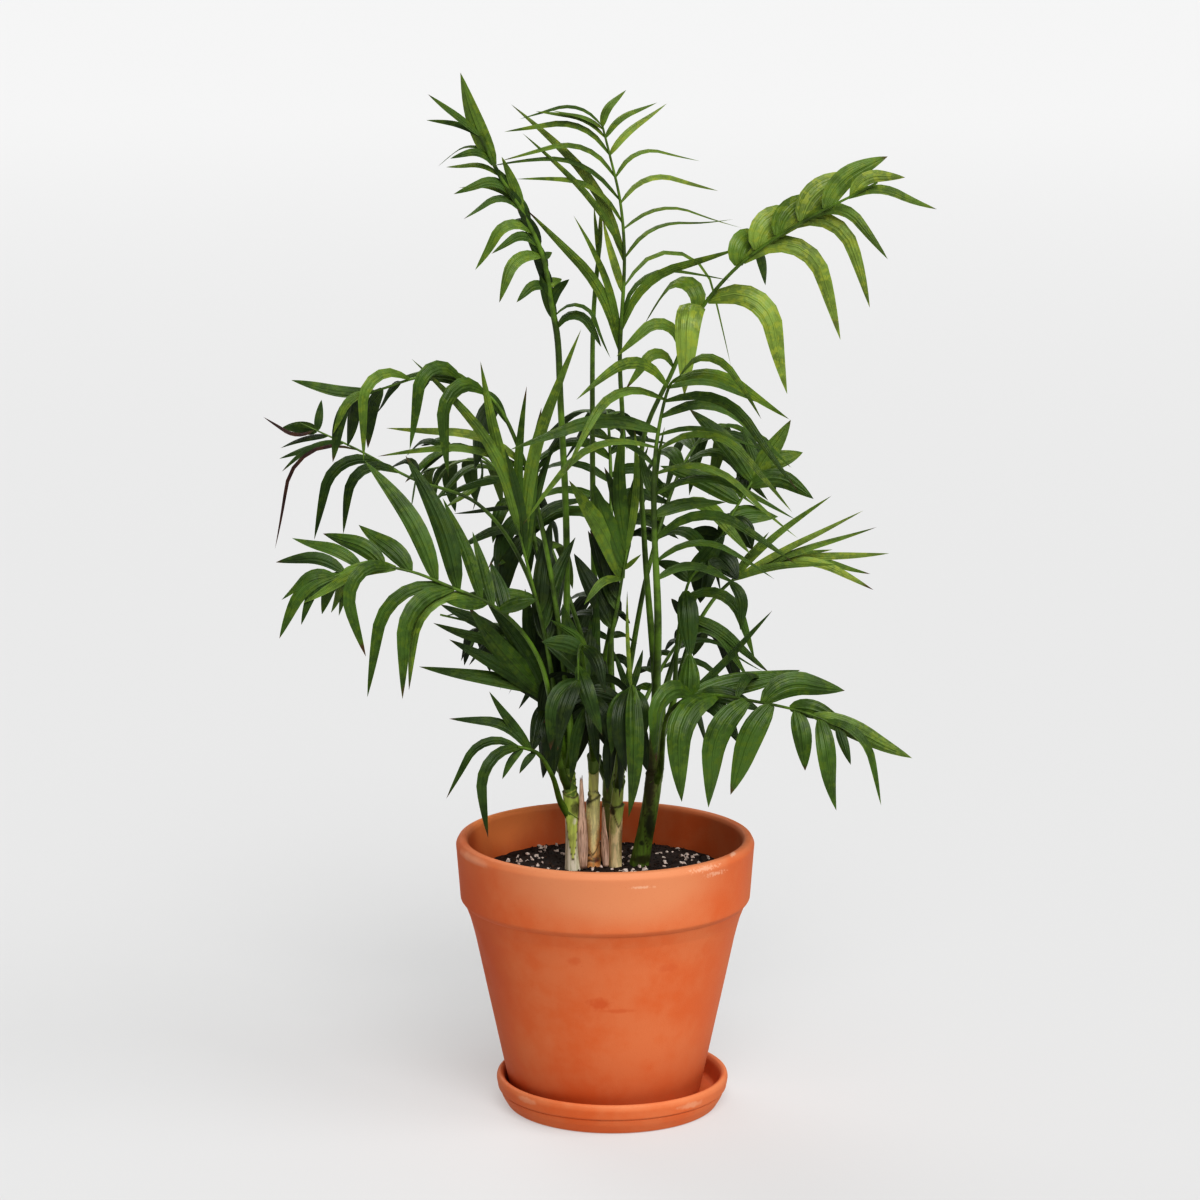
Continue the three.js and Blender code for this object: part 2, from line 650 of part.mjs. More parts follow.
function take(name, solid) {
  taken.push({ name, solid, box: solid.boundingBox() });
}

function show(name, solid, look) {
  const mesh = new THREE.Mesh(geometryOf(solid), new THREE.MeshStandardMaterial(MATERIALS[look]));
  mesh.name = name;
  palm.add(mesh);
}

function boxesMeet(a, b) {
  return [0, 1, 2].every((axis) => a.min[axis] < b.max[axis] && b.min[axis] < a.max[axis]);
}

// Whether a solid meets anything that belongs to another node.
function meets(solid, name) {
  const box = solid.boundingBox();
  return taken.some(
    (other) =>
      other.name !== name && boxesMeet(box, other.box) && solid.intersect(other.solid).volume() > TOUCH_MM3,
  );
}

const STURDY = [
  ["saucer", saucerGeometry(), "terracotta"],
  ["pot", potGeometry(), "terracotta"],
  ["soil", soilGeometry(), "soil"],
  ...Object.entries(CANES).map(([name, cane]) => [name, caneGeometry(cane), "cane"]),
  ...Object.entries(SHEATHS).map(([name, sheath]) => [name, sheathGeometry(sheath), "dry"]),
];
for (const [name, geometry, look] of STURDY) {
  const solid = solidOf(geometry);
  take(name, solid);
  show(name, solid, look);
}

// The ribs come first, each cut clear of the canes, so that every leaflet is tested against all of them.
const cutters = Object.values(CANES).map((cane) => solidOf(caneGeometry(cane, GAP)));
const fronds = Object.entries(FRONDS).map(([name, given]) => {
  const frond = { ...FROND, ...given };
  const whole = solidOf(ribGeometry(frond));
  const rib = largest(cutters.reduce((left, cutter) => left.subtract(cutter), whole));
  take(name, rib);
  return { name, frond, rib };
});

// A leaflet that meets another node is swung a little, and left out when that doesn't clear it.
fronds.forEach(({ name, frond, rib }, index) => {
  let whole = rib;
  for (const leaf of leaflets(frond, FIRST_SEED + SEED_STEP * index)) {
    const free = SWINGS.map((swing) => ({ ...leaf, droop: leaf.droop + swing })).find(
      (tried) => !meets(solidOf(leafGeometry(tried, LEAF_GAP)), name),
    );
    if (!free) continue;
    const blade = solidOf(leafGeometry(free));
    take(name, blade);
    whole = whole.add(blade);
  }
  show(name, largest(whole), frond.leaf);
});

export default palm;
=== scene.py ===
# A parlour palm in a terracotta pot on its saucer, finished around the packed frame.
# Metres, +Z up. The origin is on the saucer's flat underside and the palm's front faces -Y.
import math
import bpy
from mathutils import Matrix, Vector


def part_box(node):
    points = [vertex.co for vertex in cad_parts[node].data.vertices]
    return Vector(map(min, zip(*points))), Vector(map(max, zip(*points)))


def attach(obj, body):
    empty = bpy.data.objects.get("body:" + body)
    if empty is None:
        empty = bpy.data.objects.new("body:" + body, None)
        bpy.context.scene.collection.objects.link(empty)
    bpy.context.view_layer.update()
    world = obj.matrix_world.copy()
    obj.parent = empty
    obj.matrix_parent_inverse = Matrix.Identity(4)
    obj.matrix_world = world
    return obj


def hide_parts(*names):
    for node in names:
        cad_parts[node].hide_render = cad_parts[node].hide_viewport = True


bl_info = {
    "name": "Potted parlour palm",
    "version": (1, 0, 0),
    "blender": (4, 5, 0),
    "location": "View3D > Sidebar > Palm",
    "description": "Builds the finished palm, pot, saucer and soil around the frame",
    "category": "Object",
}

import bpy
import numpy as np
from bpy.props import FloatProperty, FloatVectorProperty, IntProperty, PointerProperty
from mathutils import Vector, noise

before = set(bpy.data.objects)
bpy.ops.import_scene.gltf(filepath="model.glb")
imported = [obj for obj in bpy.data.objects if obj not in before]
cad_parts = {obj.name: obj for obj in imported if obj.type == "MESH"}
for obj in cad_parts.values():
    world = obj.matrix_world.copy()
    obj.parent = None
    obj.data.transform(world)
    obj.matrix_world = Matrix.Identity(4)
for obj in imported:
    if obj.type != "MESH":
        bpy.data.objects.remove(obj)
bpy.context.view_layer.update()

MM = 0.001
BODY = "root"

# ---- driving sizes, from the frame ----

POT_LOW, POT_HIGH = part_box("pot")
SAUCER_LOW, SAUCER_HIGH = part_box("saucer")
SOIL_LOW, SOIL_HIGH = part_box("soil")
POT_TOP = POT_HIGH.z
POT_FOOT = POT_LOW.z
POT_RIM = POT_HIGH.x
SAUCER_CENTRE = (SAUCER_LOW.x + SAUCER_HIGH.x) / 2
SAUCER_OUTER = (SAUCER_HIGH.x - SAUCER_LOW.x) / 2
SAUCER_HEIGHT = SAUCER_HIGH.z
SOIL_TOP = SOIL_HIGH.z
SOIL_BOTTOM = SOIL_LOW.z
CANE_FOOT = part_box("cane_middle")[0].z

CANE_FLARE = 0.12  # share of a cane's height that its swollen foot takes
CANE_SUNK = 3 * MM  # a cane's foot goes on under the crumbs
# Each cane in millimetres and degrees: the foot and tip of its axis, and its radii at the soil, above the
# swollen foot and at the tip. bow is how far it bows, as a share of its lean. scars are the heights of its
# rings. An edge of a sheath has an angle, a height there, its rise on both sides, how far it runs round, and
# how far what is above it stands out. The first one parts the foot's colour from the rest, over blend. A mark
# has a place, a half size, a tint and a strength.
CANES = {
    "cane_left": {
        "foot": (-22, -6),
        "tip": (-28, -5, 262),
        "bow": 0.25,
        "radii": (6.2, 5.5, 4.6),
        "scars": (227, 240),
        "edges": ((-94, 178, 38, 60, 0.5), (-70, 223, 5, 180, -1.0)),
        "blend": 0.4,
        "marks": (
            (-21, 215, 2.6, 4.4, (0.03, 0.02, 0.01), 0.9), (-28, 227, 2.6, 1.3, (0.10, 0.05, 0.02), 0.9),
            # The pale spot below is a painted highlight on the cane's front.
            (-21.5, 206, 1.2, 2.2, (0.75, 0.72, 0.55), 0.9),
        ),
        "colours": ((0.78, 0.72, 0.58), (0.58, 0.64, 0.18), (0.46, 0.56, 0.12), (0.28, 0.40, 0.07)),
    },
    "cane_middle": {
        "foot": (-9, 2),
        "tip": (-6, 6, 288),
        "bow": 0.25,
        "radii": (6.0, 5.0, 4.6),
        "scars": (174, 178, 222, 239),
        "edges": ((-90, 180, 9, 60, 0.1), (-150, 217, 7, 180, -1.4)),
        "blend": 7,
        "marks": (
            # The first two marks are painted shade darkening the cane's left and right flanks, in the
            # orange-brown of its foot.
            (-12.6, 190, 2.4, 15, (0.46, 0.19, 0.06), 0.75), (-4.2, 186, 2.0, 13, (0.46, 0.19, 0.06), 0.75),
            (-6.5, 176, 2.4, 1.4, (0.20, 0.05, 0.02), 0.9), (-12.5, 219, 2.4, 5, (0.03, 0.015, 0.01), 0.9),
        ),
        "colours": ((0.80, 0.36, 0.13), (0.94, 0.84, 0.46), (0.72, 0.72, 0.26), (0.42, 0.50, 0.11)),
    },
    "cane_right": {
        "foot": (7, 3),
        "tip": (12, 0, 262),
        "bow": 0.25,
        "radii": (4.6, 4.9, 4.0),
        "scars": (213, 236),
        "edges": ((-66, 200, 13, 62, 0.5), (-110, 214, 4, 180, -0.8)),
        "blend": 2.5,
        "marks": (
            (11.5, 188, 1.6, 11, (0.26, 0.11, 0.05), 0.85), (5.5, 202, 2.2, 8, (0.42, 0.46, 0.14), 0.7),
            (4.8, 211, 1.8, 2.6, (0.05, 0.03, 0.015), 0.9),
        ),
        "colours": ((0.94, 0.76, 0.46), (0.62, 0.64, 0.24), (0.42, 0.52, 0.14), (0.20, 0.30, 0.06)),
    },
    "cane_dark": {
        "foot": (24, 8),
        "tip": (37, 7, 286),
        "bow": -0.25,
        "radii": (6.8, 6.4, 4.4),
        "scars": (238,),
        "edges": ((-120, 206, 26, 70, 0.5), (-60, 184, 16, 50, 0.3)),
        "blend": 9,
        "marks": (
            (31.5, 200, 3.2, 10, (0.014, 0.016, 0.010), 0.9), (26, 175, 6, 3, (0.03, 0.02, 0.01), 0.85),
            (31, 232, 3, 22, (0.045, 0.030, 0.016), 0.8), (25.5, 187, 1.4, 1.6, (0.02, 0.03, 0.01), 0.9),
        ),
        "colours": ((0.15, 0.24, 0.04), (0.13, 0.16, 0.035), (0.15, 0.17, 0.04), (0.14, 0.22, 0.04)),
    },
    "cane_back": {
        "foot": (2, 22),
        "tip": (4, 30, 272),
        "bow": 0.25,
        "radii": (6, 4.8, 3.4),
        "scars": (190, 212, 238),
        "edges": ((-90, 188, 8, 90, 0.2),),
        "blend": 6,
        "marks": (),
        "colours": ((0.40, 0.26, 0.14), (0.30, 0.30, 0.11), (0.22, 0.30, 0.08), (0.16, 0.26, 0.05)),
    },
}

# Dry sheaths beside the canes, in millimetres: foot, tip, width and the way the flat side runs.
DRY_SHEATHS = {
    "dry_sheath_left": {
        "foot": (-15.2, -9.6, 172),
        "tip": (-16.8, -8.6, 236),
        "width": 7.5,
        "side": (0.9, 0.2, 0),
    },
    "dry_sheath_right": {
        "foot": (0.4, -3.5, 171.6),
        "tip": (-1.5, -1, 214),
        "width": 6,
        "side": (0.95, -0.3, 0),
    },
}

# Fronds in millimetres and degrees. Each grows from a cane at a height, out of its side at an azimuth or,
# without one, out of its tip. path goes on up the petiole and along the rib. rib is its radii at the foot,
# where the leaflets start and at the tip, and bare is the share of it without leaflets. face is the way the
# upper side looks. length, sweep and droop are the paired leaflets' at the foot, middle and tip: sweep is the
# angle from the rib and droop the whole bend. scale multiplies the length left and right of the rib. level
# says how far the blades turn to lie flat, and leaf is the frond's tone. leaves are single ones: the share of
# the path where one stands, how far its tip lies to the right, behind and above its root, its whole bend, its
# width, how far it turns to lie flat, and its tone where it isn't the frond's own.
COLLAR_OUT = 9  # where a frond's foot clears the side of its cane
COLLAR_RISE = 12
PAIR_LIFT = 8  # how far the paired leaflets rise from the frond's plane
PAIR_STAGGER = 0.3  # how far the left one of a pair stands below the right one, as a share of their spacing
LAST_PAIR = 0.995  # where the last pair stands
FROND = {
    "rib": (2.3, 1.5, 0.7),
    "bare": 0.5,
    "pairs": 0,
    "length": (80, 95, 60),
    "width": 12,
    "sweep": (62, 45, 22),
    "droop": (60, 60, 50),
    "scale": (1, 1),
    "level": 0.6,
    "leaf": "mid",
    "leaves": (),
}
BACK_FROND = {
    "pairs": 8,
    "length": (85, 88, 64),
    "sweep": (62, 45, 24),
    "droop": (90, 90, 90),
    "level": 0.5,
}
LOW_BACK_FROND = {
    "bare": 0.4,
    "pairs": 7,
    "face": (0, 0, 1),
    "length": (76, 76, 60),
    "width": 13,
    "droop": (80, 80, 80),
    "leaf": "dark",
}
FRONDS = {
    "frond_top_left": {
        "grows": ("cane_left", 260),
        "path": (
            (-27, 10, 409), (-31, 14, 499), (-33, 14, 542), (-37, 12, 565), (-43, 6, 599), (-57, 0, 630),
            (-73, -6, 657), (-84, -10, 681),
        ),
        "rib": (2.3, 2.2, 1.2),
        "bare": 0.66,
        "leaf": "dark",
        "leaves": (
            (0.95, -22, -8, 62, 4, 12.5, 0, "fresh"), (1, -35, -6, 28, 14, 5, 0.2, "mid"),
            (1, -37, 8, 10, 22, 4.5, 0.3, "mid"), (0.97, -35, 14, -10, 62, 4, 0.5, "mid"),
            (0.95, -29, -14, 5, 62, 5.5, 0.4, "mid"), (0.93, -37, 14, 5, 45, 4.5, 0.5, "fresh"),
            (0.89, -40, -14, 3, 80, 7, 0.4, "mid"), (0.885, -39, 15, 7, 50, 5.5, 0.5, "fresh"),
            (0.865, -39, -10, -5, 80, 6.5, 0.4, "mid"), (0.825, -39, -14, -24, 105, 8, 0.4, "fresh"),
            (0.83, -24, 18, -6, 90, 5.5, 0.4, "mid"), (0.80, -32, -18, -3, 85, 6.5, 0.4, "mid"),
            (0.785, -29, -20, -30, 70, 9, 0.2, "fresh"), (0.73, -22, -12, -8, 75, 7, 0.3, "mid"),
            (0.86, -14, -10, 39, 8, 7, 0.1, "fresh"), (0.735, 9, 8, 4, 40, 8, 0.1, "fresh"),
            (0.78, 6, 4, 4, 30, 5.5, 0.2, "mid"), (0.685, 39, -8, -28, 115, 4, 0.6, "mid"),
            (0.665, 31, -6, -12, 112, 7, 0.5, "mid"), (0.68, -10, -8, 32, 20, 8, 0.2),
            (0.72, -12, -8, 30, 24, 8, 0.2, "deep"), (0.76, -14, -8, 28, 24, 8, 0.2),
            (0.8, -15, -8, 27, 24, 8, 0.2, "deep"), (0.84, -16, -8, 26, 24, 7.5, 0.2),
            (0.88, -15, -8, 25, 24, 7, 0.2), (0.7, 12, -8, 20, 30, 7, 0.2),
        ),
    },
    "frond_top_centre": {
        "grows": ("cane_middle", 286),
        "path": (
            (5, 8, 345), (9, 12, 387), (12, 18, 477), (10, 20, 526), (13, 14, 598), (10, 8, 636),
            (3, 2, 667), (-2, -2, 687),
        ),
        "bare": 0.6,
        "leaf": "mid",
        "leaves": (
            (1, 16, 6, 24, 40, 6, 0.1, "fresh"), (0.98, 35, 8, 23, 34, 5, 0.2, "fresh"),
            (0.95, 39, 10, 34, 22, 5.5, 0.1, "bright"), (0.91, 58, 14, 10, 75, 5, 0.5, "fresh"),
            (0.865, 67, 16, 7, 72, 5, 0.5, "bright"), (0.82, 82, 18, -1, 62, 4.5, 0.5, "fresh"),
            (0.77, 75, 18, 25, 52, 4.5, 0.5, "fresh"), (0.72, 75, 20, -58, 122, 4.5, 0.5, "fresh"),
            (0.665, 76, 14, 25, 88, 4.5, 0.5), (0.645, 82, -22, 59, 60, 6.5, 0.3, "fresh"),
            (1, -56, -6, 5, 60, 3.5, 0.5), (0.995, -35, -8, 13, 30, 4, 0.4, "fresh"),
            (0.98, -47, -8, 18, 35, 4, 0.4, "fresh"), (0.95, -71, -12, 16, 55, 4.5, 0.4, "fresh"),
            (0.91, -77, -14, 12, 60, 4.5, 0.4, "fresh"), (0.87, -88, -16, 24, 50, 4.5, 0.4),
            (0.83, -72, -16, 31, 48, 4.5, 0.4, "fresh"), (0.765, -77, -12, 107, 20, 7, 0.1, "bright"),
            (0.78, -69, -20, 82, 10, 4.5, 0.1, "fresh"), (0.71, -14, -12, 52, 4, 6, 0.1, "bright"),
            (0.61, -64, -18, 99, 34, 7.5, 0.1, "fresh"), (0.63, -32, -12, 86, 6, 5.5, 0.1, "fresh"),
        ),
    },
    "frond_spear": {
        "grows": ("cane_middle", 270, 80),
        "path": ((-8, 30, 384), (-9, 30, 483), (-8, 28, 560), (-3, 24, 612)),
        "bare": 0.94,
        "leaf": "dark",
        "leaves": (
            (0.94, 2, 3, 42, 4, 3.5, 0, "bright"), (0.95, -3, -2, 36, 5, 3, 0, "fresh"),
        ),
    },
    "frond_top_right": {
        "grows": ("cane_dark", 284),
        "path": (
            (27, 10, 402), (26, 4, 472), (46, -8, 522), (63, -18, 562), (91, -32, 597), (133, -52, 628),
            (167, -66, 647), (179, -70, 654),
        ),
        "bare": 0.55,
        "leaf": "bright",
        "leaves": (
            (0.55, -33, -14, -13, 128, 8, 0.5, "fresh"), (0.58, -44, -12, -3, 122, 8.5, 0.4, "fresh"),
            (0.645, -10, -34, -52, 130, 18, 0.9), (0.64, -35, 24, -8, 150, 13, 0.2, "fresh"),
            (0.67, 54, -14, -62, 106, 16, 0.1), (0.745, 24, 26, 14, 104, 18, 0, "fresh"),
            (0.755, 65, -16, -51, 104, 12.5, 0.1), (0.785, 38, 22, 22, 84, 20, 0),
            (0.785, 6, 14, -25, 14, 7, 0.1, "mid"), (0.815, 64, -16, -44, 104, 10.5, 0.1),
            (0.825, 44, 20, 27, 70, 20, 0, "fresh"), (0.87, 56, -14, -24, 92, 8, 0.2, "fresh"),
            (0.868, 44, 16, 31, 52, 18, 0), (0.91, 42, 12, 34, 34, 14, 0, "fresh"),
            (0.955, 36, 6, 12, 62, 9, 0), (0.95, 58, -8, -7, 56, 6.5, 0.3, "fresh"),
        ),
    },
    "frond_arching_left": {
        "grows": ("cane_left", 244, 285),
        "path": (
            (-39, -22, 393), (-58, -30, 470), (-80, -35, 509), (-118, -40, 522), (-150, -45, 514),
            (-172, -48, 508),
        ),
        "bare": 0.58,
        "leaf": "dark",
        "leaves": (
            (0.745, -24, -24, -54, 130, 11, 0.3, "mid"), (0.71, -17, 22, -46, 60, 18, 0.2),
            (0.79, -35, -24, -43, 140, 9, 0.4, "mid"), (0.885, -31, -20, -53, 120, 7.5, 0.4, "fresh"),
            (0.85, -15, 22, -47, 50, 11, 0.2), (0.905, -17, 16, -23, 40, 7, 0.1),
            (0.96, -25, -12, -27, 60, 6, 0.3, "fresh"), (1, -11, -10, -42, 20, 8, 0.1),
            (0.985, -8, 10, -36, 25, 9, 0.1), (0.94, -11, 18, -43, 30, 9, 0.1),
            (0.955, -55, -4, 8, -12, 8, 0.2, "mid"), (0.775, -48, 8, 4, 30, 11, 0.3, "mid"),
            (0.75, 18, 4, -25, 20, 8, 0.2), (0.59, -94, -10, 27, 40, 6.5, 0.3, "bright"),
            (0.58, -101, -16, 12, 34, 6, 0.3, "fresh"),
        ),
    },
    "frond_far_left": {
        "grows": ("cane_left", 246, 110),
        "path": ((-53, 25, 371), (-88, 35, 422), (-136, 42, 440), (-174, 45, 460), (-214, 50, 478)),
        "rib": (2.3, 1.2, 0.5),
        "bare": 0.66,
        "leaf": "dark",
        "leaves": (
            (0.9, -44, -10, -10, 10, 6, 0.3), (0.935, -34, 8, -10, 12, 5, 0.3, "deep"),
            (0.96, -26, 14, 0, 5, 9, 0.1), (0.965, -36, 0, 9, -70, 3.4, 0.4, "dried"),
            (0.91, -39, -14, -20, 30, 4, 0.3), (0.96, 3, 6, 21, 5, 6, 0),
            (0.865, -58, -14, -68, 82, 2.8, 0.4, "dried"), (0.815, -45, -16, -53, 92, 8, 0.1),
            (0.77, -38, -14, -42, 96, 7.5, 0.1), (0.73, -19, 16, 6, 130, 6, 0.3, "deep"),
        ),
    },
    "frond_low_left": {
        "grows": ("cane_left", 228, 235),
        "path": (
            (-45, -40, 327), (-71, -60, 365), (-106, -75, 385), (-132, -85, 397), (-160, -90, 401),
            (-180, -95, 395),
        ),
        "bare": 0.46,
        "leaf": "mid",
        "leaves": (
            (0.745, -48, 16, 79, 10, 13, 0), (0.685, -35, 14, 89, 8, 14, 0, "dark"),
            (0.62, -26, 14, 67, 6, 9, 0), (0.585, -14, 16, 48, 6, 8, 0),
            (0.54, -11, 18, 34, 6, 11, 0, "dark"), (0.815, -35, 14, 29, 42, 13, 0),
            (0.88, -41, 12, 20, 46, 12, 0), (0.935, -46, 8, 18, 36, 9, 0.1),
            (0.975, -46, 4, 6, 40, 8.5, 0.1, "dark"), (1, -35, -6, -15, 75, 7, 0.2),
            (0.85, -61, -16, -21, 42, 10.5, 0.1, "fresh"), (0.99, -39, -12, -41, 45, 9, 0.1),
            (0.985, -26, -8, -33, 50, 7, 0.1, "dark"), (0.975, -16, 8, -30, 30, 9, 0),
            (0.96, -14, 10, -31, 30, 7.5, 0, "fresh"), (0.925, -18, 6, -35, 40, 9, 0),
            (0.86, -17, -14, -58, 118, 9.5, 0.1), (0.715, -53, -18, -73, 84, 9, 0.2),
            (0.695, -34, -24, -71, 88, 11.5, 0.1), (0.65, -41, -18, -62, 80, 8.5, 0.2, "fresh"),
            (0.6, -28, -22, 5, 4, 9, 0), (0.565, 27, -26, 12, 4, 9.5, 0),
        ),
    },
    "frond_dark_left": {
        "grows": ("cane_left", 234, 190),
        "path": ((-40, -4, 292), (-60, 14, 325), (-88, 28, 338), (-116, 35, 344)),
        "bare": 0.3,
        "leaf": "dark",
        "leaves": (
            (0.4, -87, -12, 20, 14, 10.5, 0.1, "mid"), (0.62, -60, -8, 19, 8, 8, 0.1, "mid"),
            (0.7, -46, 10, 21, 6, 9, 0), (0.37, -54, -16, 68, 4, 15, 0, "mid"),
            (0.33, -41, 8, 21, 10, 5.5, 0.1, "deep"), (0.4, -30, 14, 34, 5, 15, 0, "deep"),
            (0.33, 3, -28, -44, 60, 17, 0.7, "deep"), (0.35, -12, -26, -30, 50, 14, 0.6, "deep"),
            (0.33, -11, 14, 19, 10, 11, 0, "deep"), (0.33, 10, -14, 30, 10, 14, 0),
            (0.3, -20, 34, 30, 30, 13, 0.3), (0.55, -30, 40, 10, 50, 12, 0.5),
            (0.85, -24, 24, 0, 60, 10, 0.5, "mid"), (0.3, 12, 8, -36, 20, 16, 0.1, "deep"),
            (0.3, -6, 10, -48, 20, 13, 0.1, "deep"), (0.33, 20, 10, 12, 20, 16, 0, "deep"),
            (0.36, 16, 14, 44, 10, 15, 0, "deep"), (0.45, 10, 16, 34, 10, 14, 0),
            (0.33, -6, 16, 84, 8, 13, 0, "deep"), (0.4, -14, 14, 70, 8, 13, 0),
            (0.3, 6, 14, 90, 8, 12, 0, "deep"), (0.3, -16, 12, 60, 8, 13, 0, "deep"),
            (0.5, -30, 10, 46, 10, 12, 0), (0.45, -44, 4, 30, 12, 12, 0, "mid"),
            (0.36, -68, -14, 46, 8, 11, 0), (0.35, -44, -8, 76, 6, 12, 0),
        ),
    },
    "frond_small_left": {
        "grows": ("cane_left", 206, 215),
        "path": ((-37, -33, 245), (-47, -44, 263), (-60, -52, 269)),
        "rib": (2.3, 1.6, 1),
        "bare": 0.7,
        "leaf": "mid",
        "leaves": (
            (0.9, -54, -8, 23, 48, 7.5, 0.1, "dark"), (0.88, -28, -6, 42, 12, 7, 0.1, "dark"),
            (0.99, -49, -14, -33, 92, 6, 0.2, "dark"), (0.97, -22, -18, -59, 95, 8, 0.1, "dark"),
            (0.83, -11, -10, -13, 10, 5, 0.1, "dark"), (0.95, -14, -8, -20, 10, 5.5, 0.1),
        ),
    },
    "frond_upright": {
        "grows": ("cane_left", 250, 250),
        "path": ((-41, -20, 337), (-53, -36, 392), (-60, -44, 422)),
        "bare": 0.6,
        "leaf": "bright",
        "leaves": (
            (0.97, -71, -8, 118, 18, 8, 0, "fresh"), (0.98, -25, 6, 113, 6, 8.5, 0, "fresh"),
            (0.93, 4, 10, 104, 3, 6.5, 0, "mid"), (0.88, 39, -8, 153, 14, 9, 0, "fresh"),
            (0.87, -13, -14, 75, 3, 7, 0, "dark"), (0.86, 11, 10, 101, 4, 9.5, 0, "mid"),
            (0.84, 19, 14, 80, 6, 8, 0, "dark"), (0.68, -60, -16, 2, 8, 10, 0, "mid"),
            (0.62, 8, 14, 62, 6, 12, 0, "deep"), (0.5, 14, 20, 52, 8, 14, 0, "deep"),
            (0.5, -4, 20, 44, 8, 13, 0, "deep"), (0.55, 22, 22, 60, 8, 12, 0, "dark"),
        ),
    },
    "frond_mid_left": {
        "grows": ("cane_back", 256, 165),
        "path": ((-39, 45, 353), (-60, 60, 422), (-89, 70, 452), (-117, 78, 458)),
        "bare": 0.6,
        "pairs": 2,
        "face": (0, -0.5, 0.85),
        "length": (60, 56, 40),
        "width": 9,
        "sweep": (60, 45, 22),
        "droop": (60, 60, 60),
        "level": 0.5,
        "leaf": "dark",
        "leaves": (
            (0.78, -48, 4, -13, 14, 6, 0.1), (0.69, -50, 6, -6, 6, 3.5, 0.2, "deep"),
            (0.89, -41, 6, -15, 70, 6, 0.3), (0.915, 2, 4, -44, 120, 7, 0.2),
            (0.97, -22, 14, -1, 60, 6, 0.2), (0.8, -20, 34, 14, 60, 9, 0.5),
            (0.62, -22, -14, -52, 40, 13, 0.1, "deep"), (0.68, -18, -10, -64, 50, 12, 0.1),
            (0.6, 14, -10, -58, 30, 13, 0, "deep"), (0.75, 12, -8, -62, 30, 12, 0),
        ),
    },
    "frond_centre_right": {
        "grows": ("cane_dark", 268, 262),
        "path": ((36, -30, 354), (33, -48, 427), (34, -58, 476), (42, -72, 518), (50, -98, 530)),
        "rib": (3.2, 2.4, 0.6),
        "bare": 0.4,
        "leaf": "mid",
        "leaves": (
            (0.93, 75, -54, -18, 52, 8, 0.4, "fresh"), (0.9, 61, 12, -12, 45, 6.5, 0.4),
            (0.86, 88, -44, -55, 78, 7, 0.3), (0.82, 88, 10, -36, 70, 8, 0.3),
            (0.775, 77, -8, -11, 50, 5, 0.4), (0.735, 90, -40, -35, 76, 5.5, 0.4, "fresh"),
            (0.68, 96, -24, -40, 66, 6, 0.4, "fresh"), (0.63, 95, -20, -14, 60, 6.5, 0.4),
            (0.58, 49, 12, 7, 12, 9.5, 0.1), (0.52, 94, -20, -13, 75, 7, 0.3),
            (0.465, 80, -18, -9, 62, 6, 0.4), (0.42, 56, 16, -7, 60, 6.5, 0.3),
            (0.9, -61, -56, -1, 66, 8, 0.4, "fresh"), (0.865, -66, -52, -42, 72, 7, 0.4, "fresh"),
            (0.785, -99, -26, -9, 42, 10.5, 0.2), (0.745, -89, -30, -48, 68, 5, 0.4, "fresh"),
            (0.7, -48, 12, 20, 40, 5, 0.4), (0.62, -9, 12, 30, 6, 6.5, 0), (0.54, 7, 12, 70, 4, 4, 0),
            (0.98, 52, -60, -20, 80, 5.5, 0.5, "fresh"),
        ),
    },
    "frond_behind_right": {
        "grows": ("cane_dark", 272, 75),
        "path": ((60, 36, 347), (82, 54, 398), (99, 62, 427), (113, 68, 448)),
        "bare": 0.45,
        "leaf": "dark",
        "leaves": (
            (0.92, 27, 10, 42, 20, 13, 0, "fresh"), (0.96, -12, 12, 29, 4, 7, 0, "mid"),
            (0.98, 29, 6, 9, 16, 13, 0, "fresh"), (0.9, 45, -4, -9, 50, 13.5, 0, "mid"),
            (0.92, -45, 8, 50, 8, 14, 0, "mid"), (0.83, -56, 8, 25, 8, 13, 0, "mid"),
            (0.76, 35, 8, 1, 20, 15, 0, "mid"), (0.75, 17, -8, -18, 40, 18, 0.1, "deep"),
            (0.64, -10, -14, -35, 30, 19, 0.2, "deep"), (0.62, 18, -12, -15, 40, 17, 0.1, "deep"),
            (0.69, -25, 12, 0, 10, 13, 0, "deep"), (0.7, 26, 46, 4, 60, 14, 0.6, "mid"),
            (0.85, 4, 48, 6, 60, 13, 0.6, "mid"), (0.55, 4, 44, -16, 70, 14, 0.6, "mid"),
        ),
    },
    "frond_fan_right": {
        "grows": ("cane_dark", 258, 40),
        "path": ((63, 45, 331), (90, 60, 364), (126, 72, 376), (150, 80, 380)),
        "rib": (2.2, 1.3, 0.6),
        "bare": 0.6,
        "leaf": "bright",
        "leaves": (
            (0.67, 70, 10, 59, 8, 5, 0, "fresh"), (0.68, 91, 6, 48, 10, 5, 0),
            (0.77, 85, 4, 29, 8, 5, 0, "fresh"), (0.92, 67, 0, 3, 6, 5.5, 0),
            (0.94, 50, -4, -12, 20, 5, 0.1, "fresh"), (0.84, 70, -8, -18, 30, 6.5, 0),
            (0.67, 26, 10, 33, 6, 5, 0, "fresh"), (0.67, 73, 0, 11, 14, 5.5, 0, "fresh"),
            (0.75, 60, 40, 8, 30, 5, 0.2, "fresh"),
        ),
    },
    "frond_hanging_right": {
        "grows": ("cane_dark", 264, 350),
        "path": ((51, 5, 339), (60, 0, 378), (72, -6, 386), (86, -10, 376)),
        "rib": (2.2, 1.3, 0.6),
        "bare": 0.5,
        "leaf": "dark",
        "leaves": (
            (0.7, 3, -18, -44, 30, 15, 0.5), (0.58, -7, -10, 14, 10, 5.5, 0.2, "deep"),
            (1, 7, -6, -33, 60, 8, 0.2), (0.66, 49, -12, -41, 92, 8, 0.3, "mid"),
            (0.58, 60, -10, -37, 44, 7.5, 0.3, "mid"), (0.5, 49, -10, -31, 88, 8, 0.3, "mid"),
